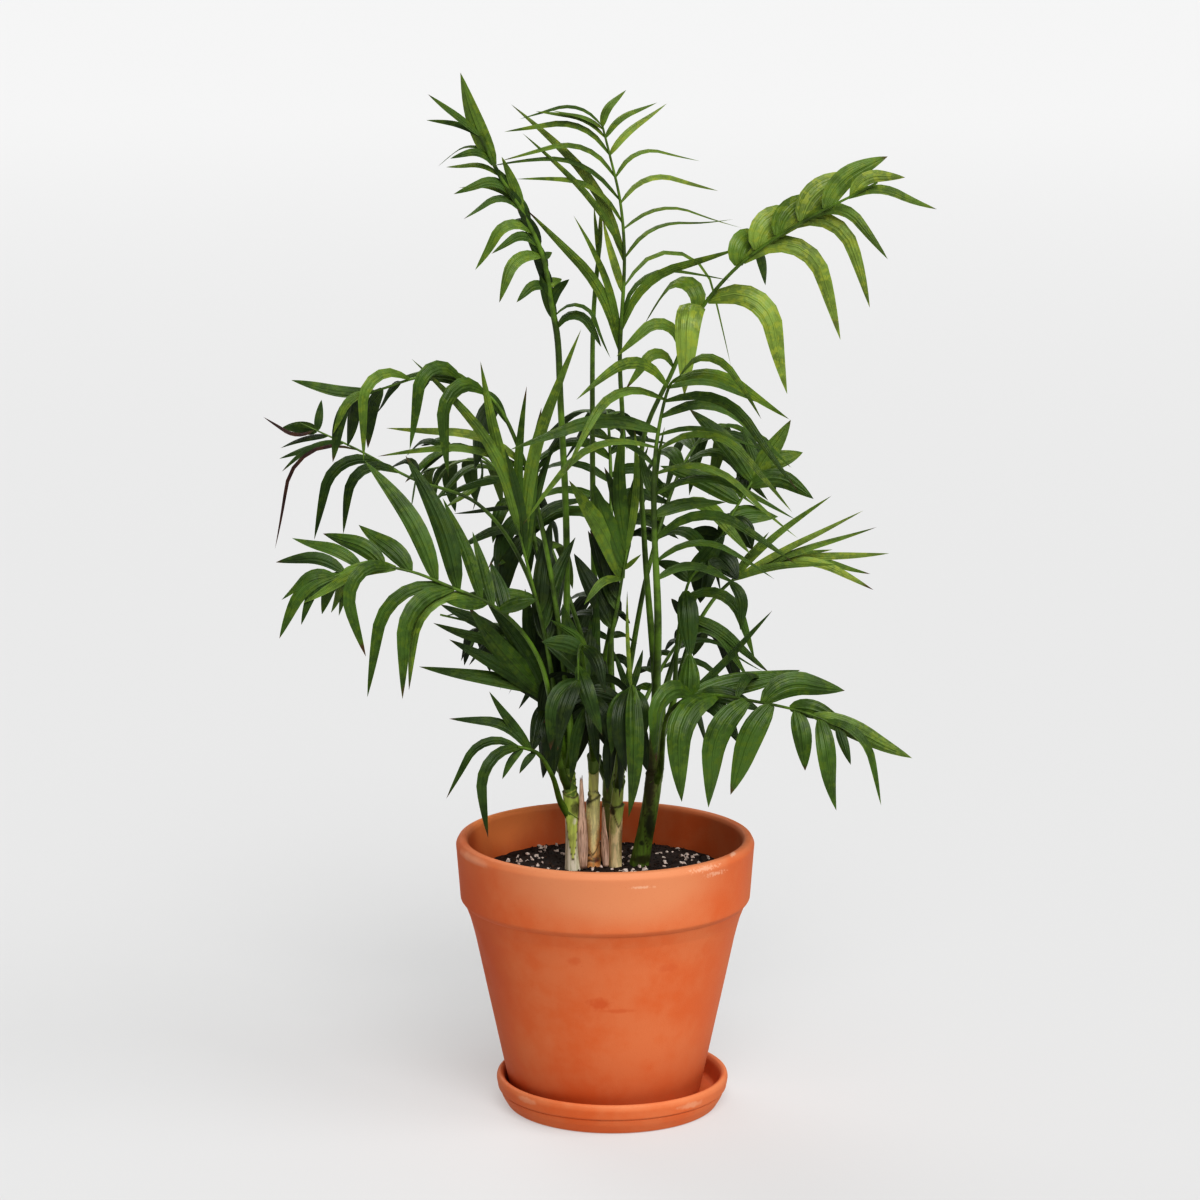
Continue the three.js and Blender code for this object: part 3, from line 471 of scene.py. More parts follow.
            (0.75, -24, 10, 12, 30, 9.5, 0.1), (0.88, 16, 10, -6, 60, 9.5, 0.1, "deep"),
            (0.75, 25, 6, 32, 10, 14, 0), (0.85, 14, 30, -26, 90, 11, 0.4),
        ),
    },
    "frond_low_right": {
        "grows": ("cane_dark", 226, 300),
        "path": ((44, -38, 290), (64, -58, 306), (102, -78, 306), (136, -92, 301), (155, -98, 294)),
        "bare": 0.36,
        "leaf": "mid",
        "leaves": (
            (0.75, 56, 16, 5, 70, 17, 0), (0.48, 77, 18, 16, 22, 16, 0),
            (0.52, 43, -8, -9, 30, 12, 0.1, "dark"), (0.84, 37, -6, -9, 40, 13, 0),
            (0.92, 66, -6, -28, 26, 13, 0, "fresh"), (0.95, 39, -14, -56, 62, 6.5, 0.3),
            (0.94, 11, -16, -60, 34, 13.5, 0.1), (1, 9, -8, -25, 20, 7, 0.1, "dark"),
            (0.86, 6, -12, -39, 26, 13, 0.1), (0.78, -28, -14, -59, 36, 17, 0.1),
            (0.7, -27, -14, -71, 60, 17, 0.2), (0.59, -24, -30, -67, 90, 18, 0.5),
            (0.45, 39, -24, -25, 60, 13, 0.2, "dark"), (0.5, -25, -24, -40, 120, 14, 0.4),
            (0.48, 1, 8, 31, 4, 15, 0), (0.44, 63, 10, 62, -10, 5.5, 0.1, "dark"),
            (0.66, 20, 44, 8, 60, 7, 0.2, "dark"),
        ),
    },
    "frond_low_front": {
        "grows": ("cane_right", 228, 280),
        "path": ((15, -22, 280), (18, -40, 306), (19, -60, 312), (20, -82, 306)),
        "bare": 0.5,
        "leaf": "dark",
        "leaves": (
            (0.66, -14, -14, -42, 70, 12, 0.2, "mid"), (0.8, -3, -14, -88, 40, 13, 0.1, "mid"),
            (0.68, 5, -12, -38, 60, 11, 0.2), (0.6, -12, 8, 32, 4, 4.5, 0.1),
            (0.72, -4, -16, -56, 60, 14, 0.1, "deep"), (0.65, 8, 8, 28, 4, 5, 0),
            (0.67, -3, 12, 67, 2, 3, 0.2, "bright"), (0.5, 13, -16, -39, 40, 12, 0.3, "deep"),
            (0.45, -14, -14, -50, 60, 10, 0.3, "deep"),
        ),
    },
    "frond_inner": {
        "grows": ("cane_right", 260),
        "path": ((3, -12, 321), (9, -20, 365), (15, -26, 401)),
        "bare": 0.6,
        "leaf": "mid",
        "leaves": (
            (0.85, -36, -16, 71, 16, 14, 0, "fresh"), (0.91, -21, -6, 60, 12, 13, 0),
            (0.97, -15, 8, 60, 8, 10, 0, "dark"), (0.99, -3, 8, 85, 4, 10, 0),
            (1, 5, 12, 82, 4, 5.5, 0, "fresh"), (0.99, 15, 14, 72, 6, 6.5, 0),
            (0.9, 12, -8, 12, 6, 3.5, 0.1, "fresh"), (0.85, -26, -16, -15, 60, 6, 0.4, "fresh"),
            (0.75, -13, 10, 40, 6, 9, 0, "deep"), (0.7, -20, 26, 50, 10, 12, 0.1, "dark"),
            (0.6, -27, 12, 50, 8, 14, 0, "deep"), (0.6, -16, 14, 66, 6, 12, 0, "deep"),
        ),
    },
    "frond_dark_front": {
        "grows": ("cane_middle", 246, 262),
        "path": ((-14, -30, 315), (-16, -55, 340), (-18, -82, 340), (-18, -105, 326)),
        "bare": 0.4,
        "pairs": 2,
        "face": (0, -0.3, 1),
        "length": (60, 60, 50),
        "width": 12,
        "sweep": (60, 46, 22),
        "droop": (105, 105, 105),
        "level": 0.4,
        "leaf": "dark",
        "leaves": (
            (0.5, -23, -12, 36, 60, 8, 0.3, "mid"), (0.42, -16, 8, 53, 4, 15, 0),
            (0.35, -9, 6, 50, 4, 6.5, 0.1, "deep"), (0.33, 2, 6, 56, 4, 6.5, 0.1),
            (0.33, 7, 8, 72, 4, 9, 0), (0.3, 11, 12, 81, 4, 9, 0, "deep"),
            (0.42, -24, -20, -44, 80, 13, 0.3), (0.35, 17, -16, -35, 60, 9.5, 0.3, "deep"),
            (0.33, 22, -18, -66, 60, 9, 0.3, "deep"), (0.33, 8, -14, -43, 40, 9, 0.3, "deep"),
            (0.3, -12, -8, -54, 30, 8, 0.2), (0.6, -28, -12, 10, 30, 12, 0.1),
            (0.67, 16, -18, -29, 60, 9.5, 0.3, "deep"), (0.36, -30, -6, -20, 50, 14, 0.2, "deep"),
            (0.36, 26, 4, -6, 40, 13, 0.2, "deep"), (0.32, -26, 6, 14, 20, 15, 0.1, "deep"),
            (0.3, -22, 4, -22, 30, 15, 0.1, "deep"), (0.3, 12, 8, 30, 10, 14, 0, "deep"),
            (0.28, -8, 10, -40, 20, 14, 0.1, "deep"), (0.28, 18, 6, -34, 30, 13, 0.1, "deep"),
            (0.4, 4, 12, 44, 6, 13, 0, "deep"), (0.45, -30, 10, 24, 20, 13, 0.1),
        ),
    },
    "frond_back_left": {
        "grows": ("cane_back", 258, 115),
        "path": ((-25, 55, 350), (-55, 90, 415), (-90, 125, 440), (-125, 155, 430)),
        **BACK_FROND,
        "face": (0, 0.2, 1),
        "leaf": "mid",
        "scale": (0.7, 0.75),
    },
    "frond_back_right": {
        "grows": ("cane_back", 250, 50),
        "path": ((30, 60, 370), (55, 95, 440), (80, 130, 465), (105, 160, 455)),
        **BACK_FROND,
        "face": (0, 0.2, 1),
        "leaf": "mid",
    },
    "frond_back_centre": {
        "grows": ("cane_back", 270),
        "path": ((4, 60, 360), (4, 90, 430), (2, 130, 470), (0, 175, 470)),
        **BACK_FROND,
        "face": (0, -0.2, 1),
        "droop": (80, 80, 80),
        "leaf": "mid",
        "scale": (1, 0.6),
    },
    "frond_back_low_left": {
        "grows": ("cane_back", 226, 140),
        "path": ((-30, 60, 290), (-60, 100, 315), (-80, 135, 318), (-95, 165, 308)),
        **BACK_FROND,
        **LOW_BACK_FROND,
        "scale": (0.6, 0.8),
    },
    "frond_back_low_right": {
        "grows": ("cane_back", 218, 60),
        "path": ((32, 60, 285), (52, 100, 310), (66, 135, 315), (74, 165, 305)),
        **BACK_FROND,
        **LOW_BACK_FROND,
        "scale": (0.4, 1),
    },
    "frond_back_low": {
        "grows": ("cane_back", 232, 95),
        "path": ((4, 70, 300), (3, 115, 335), (0, 155, 338), (-2, 190, 325)),
        **BACK_FROND,
        **LOW_BACK_FROND,
        "length": (80, 80, 60),
        "droop": (90, 90, 90),
        "scale": (1, 0.3),
    },
}

# The paired leaflets of each kind of frond are dealt out among these tones.
DEALING = {
    "dark": ("dark", "deep", "dark", "mid", "dark", "deep"),
    "mid": ("mid", "dark", "mid", "fresh", "mid", "dark"),
    "bright": ("bright", "fresh", "bright", "bright", "fresh", "mid"),
}
SLOT_OF_TONE = {
    "deep": "leaf_dark",
    "dark": "leaf_dark",
    "mid": "leaf_mid",
    "fresh": "leaf_mid",
    "bright": "leaf_bright",
    "dried": "dry_sheath",
}
FIRST_SEED = 11
SEED_STEP = 97
TONE_SEED = 5  # how far the seed that deals out the tones lies past the frond's own
LEAF_STIFF = 0.1  # share of a leaflet that stays straight before it bends
LEAF_BENT = 0.58  # share of it where the bend is done, and it hangs straight on
LEAF_SPREAD = 0.25  # how far a leaflet's tip is drawn outwards as it hangs
LEAST_BEND = 0.02
SLACK_DEG = 6  # a drooping leaflet stops this far short of straight down
LEAF_TWIST = 0.7  # most that a leaflet turns about its own length, in radians
LEAF_SICKLE = 0.05  # most that it bows sideways, as a share of its length
LEAF_WAVE = 0.018  # most that it waves up and down
LEAF_ROOT = 0.02  # a leaflet's outline starts this far along, so that its root has a width
LEAF_WIDENS = 0.55  # the powers by which the outline widens and closes, and its greatest value
LEAF_CLOSES = 0.9
LEAF_PEAK = 0.393
LEAF_WELD = 0.004 * MM  # joins the points of a leaflet's tip
JITTER_DEG = 16  # spread of the paired leaflets' sweep and lift
PLACE_JITTER = 0.35  # spread of their places, as a share of their spacing
LENGTH_JITTER = 0.2
DROOP_JITTER = 0.5
FRONT = np.array((0.0, -1.0, 0.25))  # the way the single leaflets' upper sides look
DOWN = np.array((0.0, 0.0, -1.0))
RIB_STEP = 6 * MM
STALK_SIDES = 8
FOOT_SWELL = 1.7  # how much thicker a petiole is where it leaves its cane, in millimetres
FOOT_FADES = 7  # how fast that goes, over the bare part
PAPER_WALL = 0.35 * MM  # of a dry sheath
SHEATH_WALL = 0.5 * MM  # of a green one


# ---- sizes and colours that a user would change ----


def a_colour(name, description, default):
    return FloatVectorProperty(name=name, description=description, default=default, subtype="COLOR")


def a_length(name, description, default):
    return FloatProperty(name=name, description=description, default=default, unit="LENGTH")


def a_number(name, description, default):
    return FloatProperty(name=name, description=description, default=default)


def a_count(name, description, default, least=0):
    return IntProperty(name=name, description=description, default=default, min=least)


class PalmClay(bpy.types.PropertyGroup):
    """Turned terracotta."""

    sides: a_count("Sides", "Faces round a turned piece", 176, 24)
    fillet: a_length("Fillet", "Radius of a turned edge", 0.0011)
    body: a_colour("Clay", "Colour of the fired clay", (0.62, 0.150, 0.043))
    # The dusty colour also paints light on the front of the pot's band.
    pale: a_colour("Dusty clay", "Colour of rubbed clay", (0.66, 0.285, 0.145))
    # The damp colour also paints shade towards the foot, and colours the specks.
    deep: a_colour("Damp clay", "Colour of damp clay", (0.42, 0.070, 0.016))


class PalmSoil(bpy.types.PropertyGroup):
    """Potting mix."""

    crumbs: a_number("Crumbs", "Crumbs on a square metre", 52000)
    perlite: a_number("Perlite", "White bits on a square metre", 9000)
    seed: a_count("Seed", "Seed of the scatter", 5)
    dark: a_colour("Mix", "Colour of the potting mix", (0.016, 0.010, 0.009))
    white: a_colour("Perlite colour", "Colour of the bits", (0.66, 0.53, 0.47))


class PalmStems(bpy.types.PropertyGroup):
    """Canes, dry sheaths and petioles."""

    sides: a_count("Sides", "Faces round a cane", 44, 8)
    rings: a_count("Rings", "Rings along a cane", 150, 8)
    scar: a_length("Scar", "How far a leaf scar stands out", 0.0005)
    petiole: a_colour("Petiole", "Colour of the petioles", (0.090, 0.155, 0.016))
    sheath: a_colour("Sheath", "Colour of the green sheaths", (0.19, 0.28, 0.06))
    papery: a_colour("Dry sheath", "Colour of the dry sheaths", (0.80, 0.56, 0.42))


class PalmLeaves(bpy.types.PropertyGroup):
    """Leaflets."""

    columns: a_count("Columns", "Points across a leaflet", 5, 3)
    rows: a_count("Rows", "Points along a leaflet", 12, 4)
    fold: a_number("Fold", "Drop of the edges, of the half width", 0.26)
    pleat: a_number("Pleat", "Rise of each half's pleat, of the half width", 0.12)
    deep: a_colour("Deep", "Shaded, oldest leaflets", (0.016, 0.034, 0.004))
    dark: a_colour("Dark", "Old leaflets", (0.028, 0.060, 0.006))
    mid: a_colour("Mid", "Grown leaflets", (0.050, 0.098, 0.010))
    fresh: a_colour("Fresh", "Younger leaflets", (0.102, 0.166, 0.022))
    bright: a_colour("Bright", "Young leaflets", (0.175, 0.245, 0.044))
    dried: a_colour("Dried", "Dried leaflets", (0.050, 0.022, 0.017))


class PalmStage(bpy.types.PropertyGroup):
    """Floor, light and camera."""

    lens: a_number("Lens", "Focal length in millimetres", 108)
    distance: a_length("Distance", "Camera to pot axis", 2.45)
    height: a_length("Height", "Camera height", 0.8205)
    pitch: a_number("Pitch", "Downward tilt in degrees", 10.62)
    yaw: a_number("Yaw", "Turn to the right in degrees", -0.086)
    floor: a_colour("Floor", "Colour of the floor", (0.34, 0.34, 0.34))
    glow: a_number("Floor glow", "Light that the floor gives off itself", 0.3)
    key: a_number("Key light", "Strength of the main light", 1.85)
    softness: FloatProperty(
        name="Softness", description="How wide the lights look", default=math.radians(38), subtype="ANGLE"
    )
    side: a_number("Side light", "Strength of the light from the right", 0.8)
    back: a_number("Back light", "Strength of the light from behind", 0.55)
    sky: a_number("Sky", "Strength of the light all round", 0.185)


# ---- nodes ----


def is_vector(value):
    return isinstance(value, tuple) or getattr(value, "holds_vector", False)


class Wire:
    """A node's output. Signs between wires, numbers and tuples add the nodes that work them out."""

    def __init__(self, socket):
        self.socket = socket
        self.tree = socket.id_data
        self.holds_vector = socket.type in ("VECTOR", "RGBA")

    def by(self, operation, other=None):
        return work_out(self.tree, operation, self, other)

    def __add__(self, other):
        return self.by("ADD", other)

    def __sub__(self, other):
        return self.by("SUBTRACT", other)

    def __rsub__(self, other):
        return work_out(self.tree, "SUBTRACT", other, self)

    def __mul__(self, other):
        if self.holds_vector and not is_vector(other):
            return add(self.tree, "ShaderNodeVectorMath", {0: self, "Scale": other}, operation="SCALE")
        return self.by("MULTIPLY", other)

    def __truediv__(self, other):
        return self.by("DIVIDE", other)

    def __rtruediv__(self, other):
        return work_out(self.tree, "DIVIDE", other, self)

    def __pow__(self, other):
        return self.by("POWER", other)


def feed(socket, value):
    """Links a socket to a wire, or sets its own value. A colour may come without its alpha."""
    if isinstance(value, Wire):
        socket.id_data.links.new(value.socket, socket)
    elif socket.type == "RGBA" and len(value) == 3:
        socket.default_value = (*value, 1.0)
    else:
        socket.default_value = value


def add(tree, kind, inputs=None, output=0, **settings):
    """Adds a node and returns one of its outputs. Inputs and output are given by name or number."""
    node = tree.nodes.new(kind)
    for name, value in settings.items():
        setattr(node, name, value)
    for key, value in (inputs or {}).items():
        feed(node.inputs[key], value)
    return Wire(node.outputs[output])


def work_out(tree, operation, first, second=None):
    kind = "ShaderNodeVectorMath" if is_vector(first) else "ShaderNodeMath"
    inputs = {0: first} if second is None else {0: first, 1: second}
    return add(tree, kind, inputs, operation=operation)


def split(vector):
    """The three parts of a vector."""
    first = add(vector.tree, "ShaderNodeSeparateXYZ", {0: vector})
    return [Wire(socket) for socket in first.socket.node.outputs]


def tree_of(values):
    return next(value.tree for value in values if isinstance(value, Wire))


def mixed(factor, first, second):
    """Two colours mixed."""
    values = {0: factor, 6: first, 7: second}
    return add(tree_of(values.values()), "ShaderNodeMix", values, output=2, data_type="RGBA")


def step_up(value, low, high, start=0.0, end=1.0):
    """Rises smoothly from start to end as value goes from low to high."""
    inputs = {"Value": value, "From Min": low, "From Max": high, "To Min": start, "To Max": end}
    return add(value.tree, "ShaderNodeMapRange", inputs, interpolation_type="SMOOTHSTEP")


def noise_at(place, scale, detail=3.0, roughness=0.55):
    inputs = {"Vector": place, "Scale": scale, "Detail": detail, "Roughness": roughness}
    return add(place.tree, "ShaderNodeTexNoise", inputs, output="Fac")


def group_of(name, kind, inputs, outputs):
    """An empty node group with named sockets. Returns its tree, its inputs as wires and its outputs."""
    tree = bpy.data.node_groups.new(name, kind)
    for way, sockets in (("INPUT", inputs), ("OUTPUT", outputs)):
        for label, socket in sockets.items():
            tree.interface.new_socket(label, in_out=way, socket_type="NodeSocket" + socket)
    given = {socket.name: Wire(socket) for socket in tree.nodes.new("NodeGroupInput").outputs}
    return tree, given, tree.nodes.new("NodeGroupOutput").inputs


GROUPS = {}


def use(make_group, **inputs):
    """Places a shader group, which is built at its first use. Returns its outputs as wires."""
    if make_group not in GROUPS:
        GROUPS[make_group] = make_group()
    node = tree_of(inputs.values()).nodes.new("ShaderNodeGroup")
    node.node_tree = GROUPS[make_group]
    for key, value in inputs.items():
        feed(node.inputs[key], value)
    return {socket.name: Wire(socket) for socket in node.outputs}


# ---- shader groups ----


def mottle():
    """Two colours in soft clouds, with finer clouds inside them."""
    inputs = {"Vector": "Vector", "First": "Color", "Second": "Color", "Scale": "Float", "Contrast": "Float"}
    tree, given, out = group_of("mottle", "ShaderNodeTree", inputs, {"Color": "Color", "Mask": "Float"})
    coarse = noise_at(given["Vector"], given["Scale"], 4.0)
    fine = noise_at(given["Vector"], given["Scale"] * 5.3, 3.0)
    band = 0.14 / given["Contrast"]
    mask = step_up(coarse * 0.7 + fine * 0.3, 0.5 - band, band + 0.5)
    feed(out["Color"], mixed(mask, given["First"], given["Second"]))
    feed(out["Mask"], mask)
    return tree


def grain():
    """A fine relief, stretched along an axis by its scale."""
    inputs = {"Vector": "Vector", "Scale": "Vector", "Pores": "Float"}
    tree, given, out = group_of("grain", "ShaderNodeTree", inputs, {"Height": "Float"})
    place = given["Vector"] * given["Scale"]
    cells = add(tree, "ShaderNodeTexVoronoi", {"Vector": place, "Scale": 0.6}, output="Distance")
    pores = (step_up(cells, 0.0, 0.35) - 1.0) * given["Pores"]
    feed(out["Height"], noise_at(place, 1.0, 5.0, 0.6) + pores)
    return tree


def patch():
    """A soft patch round a place, with a ragged edge."""
    inputs = {"Vector": "Vector", "Centre": "Vector", "Size": "Vector", "Ragged": "Float", "Scale": "Float"}
    tree, given, out = group_of("patch", "ShaderNodeTree", inputs, {"Mask": "Float"})
    offset = (given["Vector"] - given["Centre"]) / given["Size"]
    away = add(tree, "ShaderNodeVectorMath", {0: offset}, output="Value", operation="LENGTH")
    cloud = noise_at(given["Vector"], given["Scale"], 4.0) - 0.5
    feed(out["Mask"], step_up(away + cloud * given["Ragged"], 1.0, 0.35))
    return tree


def leaf_veins():
    """The midrib, side pleats and fine veins of a leaflet, from its own map: across in X and along in Y."""
    outputs = {"Midrib": "Float", "Lines": "Float", "Height": "Float", "Along": "Float"}
    tree, given, out = group_of("leaf_veins", "ShaderNodeTree", {"Map": "Vector", "Veins": "Float"}, outputs)
    across, along, _ = split(given["Map"])
    side = (across - 0.5).by("ABSOLUTE")
    midrib = step_up(side, 0.055, 0.012)
    lines = (across * given["Veins"] * math.tau).by("COSINE") * 0.5 + 0.5
    pleats = (side * 26.0).by("COSINE") * 0.5 + 0.5
    feed(out["Midrib"], midrib)
    feed(out["Lines"], lines)
    feed(out["Height"], lines * 0.25 + pleats * 0.75 + midrib * 1.2)
    feed(out["Along"], along)
    return tree


# ---- materials ----


def new_material(name):
    """A material with a bare surface shader. Returns it, the shader's inputs and the place on the piece."""
    material = bpy.data.materials.new(name)
    material.use_nodes = True
    shader = material.node_tree.nodes["Principled BSDF"].inputs
    return material, shader, add(material.node_tree, "ShaderNodeTexCoord", output="Object")


def raise_bump(shader, height, distance, strength):
    inputs = {"Height": height, "Distance": distance, "Strength": strength}
    feed(shader["Normal"], add(height.tree, "ShaderNodeBump", inputs, output="Normal"))


def raise_grain(shader, place, scale, pores, distance, strength):
    """Grain all over a piece. The scale is given along each axis."""
    raise_bump(shader, use(grain, Vector=place, Scale=scale, Pores=pores)["Height"], distance, strength)


def shaded(colour, factor, lift=0.0):
    """A colour made darker or lighter."""
    return tuple(min(1.0, part * factor + lift) for part in colour)


def clay_material(settings, name, marks, low, high):
    """Fired clay: clouded, dusty at its crest, darker towards its foot as damp and painted shade, and marked
    where it was knocked or wet, with patches of painted light and shade.
    """
    material, shader, place = new_material(name)
    height = split(place)[2]
    cloud = use(mottle, Vector=place, First=settings.body, Second=settings.pale, Scale=16.0, Contrast=1.2)
    # Damp and painted shade: the clay grows darker towards its foot.
    damp_and_shade = step_up(height, low + 0.35 * (high - low), low)
    dust = step_up(height, high - 0.006, high) * noise_at(place, 45.0)
    colour = mixed(0.35, settings.body, cloud["Color"])
    colour = mixed(damp_and_shade * 0.5, colour, settings.deep)
    colour = mixed(dust, colour, settings.pale)
    for centre, size, ragged, scale, tint, strength in marks:
        mask = use(patch, Vector=place, Centre=centre, Size=size, Ragged=ragged, Scale=scale)["Mask"]
        colour = mixed(mask * strength, colour, tint)
    specks = step_up(noise_at(place, 1500.0, 2.0), 0.66, 0.74)
    feed(shader["Base Color"], mixed(specks * 0.35, colour, settings.deep))
    feed(shader["Roughness"], step_up(cloud["Mask"], 0.0, 1.0, 0.56, 0.72))
    shader["Specular IOR Level"].default_value = 0.3
    raise_grain(shader, place, (1100.0, 1100.0, 1500.0), 0.35, 0.00018, 0.55)
    return material


def leaf_material(tone, colour, petiole):
    """A pleated leaflet: flecked, lighter at its veins and midrib, dry at its tip and duller below."""
    material, shader, place = new_material("leaf_" + tone)
    leaf_map = add(place.tree, "ShaderNodeUVMap", uv_map="UVMap")
    veins = use(leaf_veins, Map=leaf_map, Veins=13.0)
    lighter = shaded(colour, 1.4, 0.010)
    cloud = use(mottle, Vector=place, First=shaded(colour, 0.6), Second=lighter, Scale=30.0, Contrast=1.4)
    sunned = (min(1.0, colour[0] * 1.9 + 0.012), colour[1] * 1.5 + 0.012, colour[2])
    flecks = step_up(noise_at(place, 190.0), 0.48, 0.62)
    root = step_up(veins["Along"], 0.16, 0.0)
    tip = step_up(veins["Along"] + noise_at(place, 34.0) * 0.5, 1.19, 1.28)
    blade = mixed(0.75, colour, cloud["Color"])
    blade = mixed(flecks * 0.55, blade, sunned)
    blade = mixed(veins["Lines"] * 0.24, blade, lighter)
    blade = mixed(root * 0.5, blade, petiole)
    blade = mixed(veins["Midrib"] * 0.5, blade, lighter)
    blade = mixed(tip, blade, (0.085, 0.045, 0.018))
    behind = add(place.tree, "ShaderNodeNewGeometry", output="Backfacing")
    feed(shader["Base Color"], mixed(behind * 0.7, blade, shaded(colour, 0.9, 0.014)))
    feed(shader["Roughness"], step_up(behind, 0.0, 1.0, 0.40, 0.62))
    shader["Specular IOR Level"].default_value = 0.36
    raise_bump(shader, veins["Height"], 0.0006, 0.6)
    return material


def stem_material(name, colours, streak, marks=()):
    """A cane: its foot's colour, three more up its height, marks, streaks, and dark edges from its paint."""
    material, shader, place = new_material(name)
    rise, dark, cover = split(add(place.tree, "ShaderNodeAttribute", output="Vector", attribute_name="paint"))
    foot, low, middle, high = colours
    colour = mixed(step_up(rise, 0.22, 0.5), low, middle)
    colour = mixed(step_up(rise, 0.5, 0.95), colour, high)
    colour = mixed(cover, foot, colour)
    for x, z, half, tall, tint, strength in marks:
        centre, size = (x * MM, 0.0, z * MM), (1.6 * half * MM, 0.05, 1.6 * tall * MM)
        mask = use(patch, Vector=place, Centre=centre, Size=size, Ragged=0.8, Scale=420.0)["Mask"]
        colour = mixed(mask * strength, colour, tint)
    streaks = step_up(noise_at(place * (1.0, 1.0, 0.16), 520.0, 4.0), 0.42, 0.62)
    blotches = step_up(noise_at(place, 120.0, 4.0), 0.60, 0.70)
    colour = mixed(streaks * 0.45, colour, streak)
    colour = mixed(blotches * 0.4, colour, streak)
    feed(shader["Base Color"], mixed(dark * 0.9, colour, (0.035, 0.022, 0.010)))
    feed(shader["Roughness"], step_up(streaks, 0.0, 1.0, 0.42, 0.6))
    shader["Specular IOR Level"].default_value = 0.4
    raise_grain(shader, place, (1500.0, 1500.0, 160.0), 0.0, 0.0004, 0.5)
    return material


def petiole_material(settings):
    """Petioles and ribs: fresh green in lighter and darker clouds."""
    material, shader, place = new_material("petiole_green")
    dark, pale = shaded(settings.petiole, 0.5), shaded(settings.petiole, 1.5)
    cloud = use(mottle, Vector=place, First=dark, Second=pale, Scale=30.0, Contrast=1.2)
    feed(shader["Base Color"], cloud["Color"])
    shader["Roughness"].default_value = 0.42
    raise_grain(shader, place, (1500.0, 1500.0, 160.0), 0.0, 0.0003, 0.4)
    return material


def papery_material(settings):
    """Dry sheath: pinkish tan in clouds, with long brown fibres."""
    material, shader, place = new_material("dry_papery")
    fibres = step_up(noise_at(place * (1.0, 1.0, 0.1), 900.0, 4.0), 0.4, 0.62)
    clouds = step_up(noise_at(place, 90.0, 3.0), 0.5, 0.7)
    colour = mixed(fibres * 0.6, settings.papery, (0.22, 0.10, 0.055))
    feed(shader["Base Color"], mixed(clouds * 0.5, colour, (0.66, 0.47, 0.38)))
    feed(shader["Roughness"], step_up(fibres, 0.0, 1.0, 0.75, 0.9))
    raise_grain(shader, place, (2200.0, 2200.0, 160.0), 0.0, 0.0006, 0.8)
    return material


def crumb_material(name, first, second, roughness):
    """Loose bits of the potting mix, in two colours by their place."""
    material, shader, place = new_material(name)
    cloud = use(mottle, Vector=place, First=first, Second=second, Scale=210.0, Contrast=0.8)
    feed(shader["Base Color"], cloud["Color"])
    feed(shader["Roughness"], step_up(cloud["Mask"], 0.0, 1.0, roughness, 1.0))
    raise_grain(shader, place, (1400.0, 1400.0, 1400.0), 0.5, 0.0004, 0.8)
    return material


# ---- meshes ----


def link(made):
    bpy.context.scene.collection.objects.link(made)
    return made


def plain(points):
    return [tuple(map(float, point)) for point in points]


def mesh_object(name, points, faces, material, smooth=True, sharp_deg=None):
    """A mesh object at the origin, with its place in its mesh."""
    mesh = bpy.data.meshes.new(name)
    mesh.from_pydata(plain(points), [], faces)
    mesh.update()
    if smooth:
        mesh.shade_smooth()
    if sharp_deg:
        mesh.set_sharp_from_angle(angle=math.radians(sharp_deg))
    mesh.materials.append(material)
    return link(bpy.data.objects.new(name, mesh))


def finish_piece(piece, slot, *nodes):
    """Lets a piece ride on the part and stand for its nodes. Its slot is not used."""
    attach(piece, BODY)
    if nodes:
        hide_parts(*nodes)
    return piece


def grown(name, source, tree, values):
    """Runs a node tree over a mesh and returns the result as a plain mesh object."""
    piece = link(bpy.data.objects.new(name, source))
    modifier = piece.modifiers.new("grow", "NODES")
    modifier.node_group = tree
    for item in tree.interface.items_tree:
        if item.in_out == "INPUT" and item.name in values:
            modifier[item.identifier] = values[item.name]
    bpy.context.view_layer.update()
    evaluated = piece.evaluated_get(bpy.context.evaluated_depsgraph_get())
    mesh = bpy.data.meshes.new_from_object(evaluated)
    piece.modifiers.remove(modifier)
    piece.data = mesh
    mesh.name = name
    if not mesh.polygons:
        raise RuntimeError(name + " came out empty")
    return piece


def thicken(piece, thickness, offset):
    """Gives an open sheet its thickness."""
    wall = piece.modifiers.new("thickness", "SOLIDIFY")
    wall.thickness = thickness
    wall.offset = offset


def ring_faces(start, sides):
    """Faces between a ring of points and the next ring."""
    pairs = [(start + side, start + (side + 1) % sides) for side in range(sides)]
    return [(low, after, after + sides, low + sides) for low, after in pairs]


def tube_faces(sides, rings, capped=True):
    """Faces of a tube whose points run ring by ring."""
    faces = [face for ring in range(rings - 1) for face in ring_faces(ring * sides, sides)]
    if capped:
        last = (rings - 1) * sides
        faces += [tuple(reversed(range(sides))), tuple(range(last, last + sides))]
    return faces


def around(angle):
    return np.array((math.cos(angle), math.sin(angle), 0.0))


def paint(mesh, name, values):
    """A vector for each point, for a material or a node tree to read."""
    attribute = mesh.attributes.new(name, "FLOAT_VECTOR", "POINT")
    attribute.data.foreach_set("vector", np.asarray(values, np.float32).ravel())


# ---- turned clay ----

FILLET_STEPS = 4
PROFILE_STEP = 7 * MM  # longest face along a turned profile
NEAR_EDGE = 1.6 * MM  # a narrow face beside each rounded edge keeps the shading flat
POT_MOUTH = POT_RIM - 8.4 * MM
POT_BAND_BOTTOM = POT_RIM - 3.0 * MM
POT_BAND_FOOT = POT_TOP - 43 * MM
POT_NECK = POT_RIM - 13.4 * MM
POT_NECK_HEIGHT = POT_TOP - 70.5 * MM
POT_WALL_FOOT = 67 * MM
POT_WALL = 8.5 * MM
POT_BASE = 9 * MM
POT_DRAIN = 10 * MM
SAUCER_FLOOR = 7 * MM
RUBBED = (0.74, 0.40, 0.26)  # clay rubbed pale
LIME = (0.86, 0.66, 0.52)
BLUSH = (0.56, 0.105, 0.026)


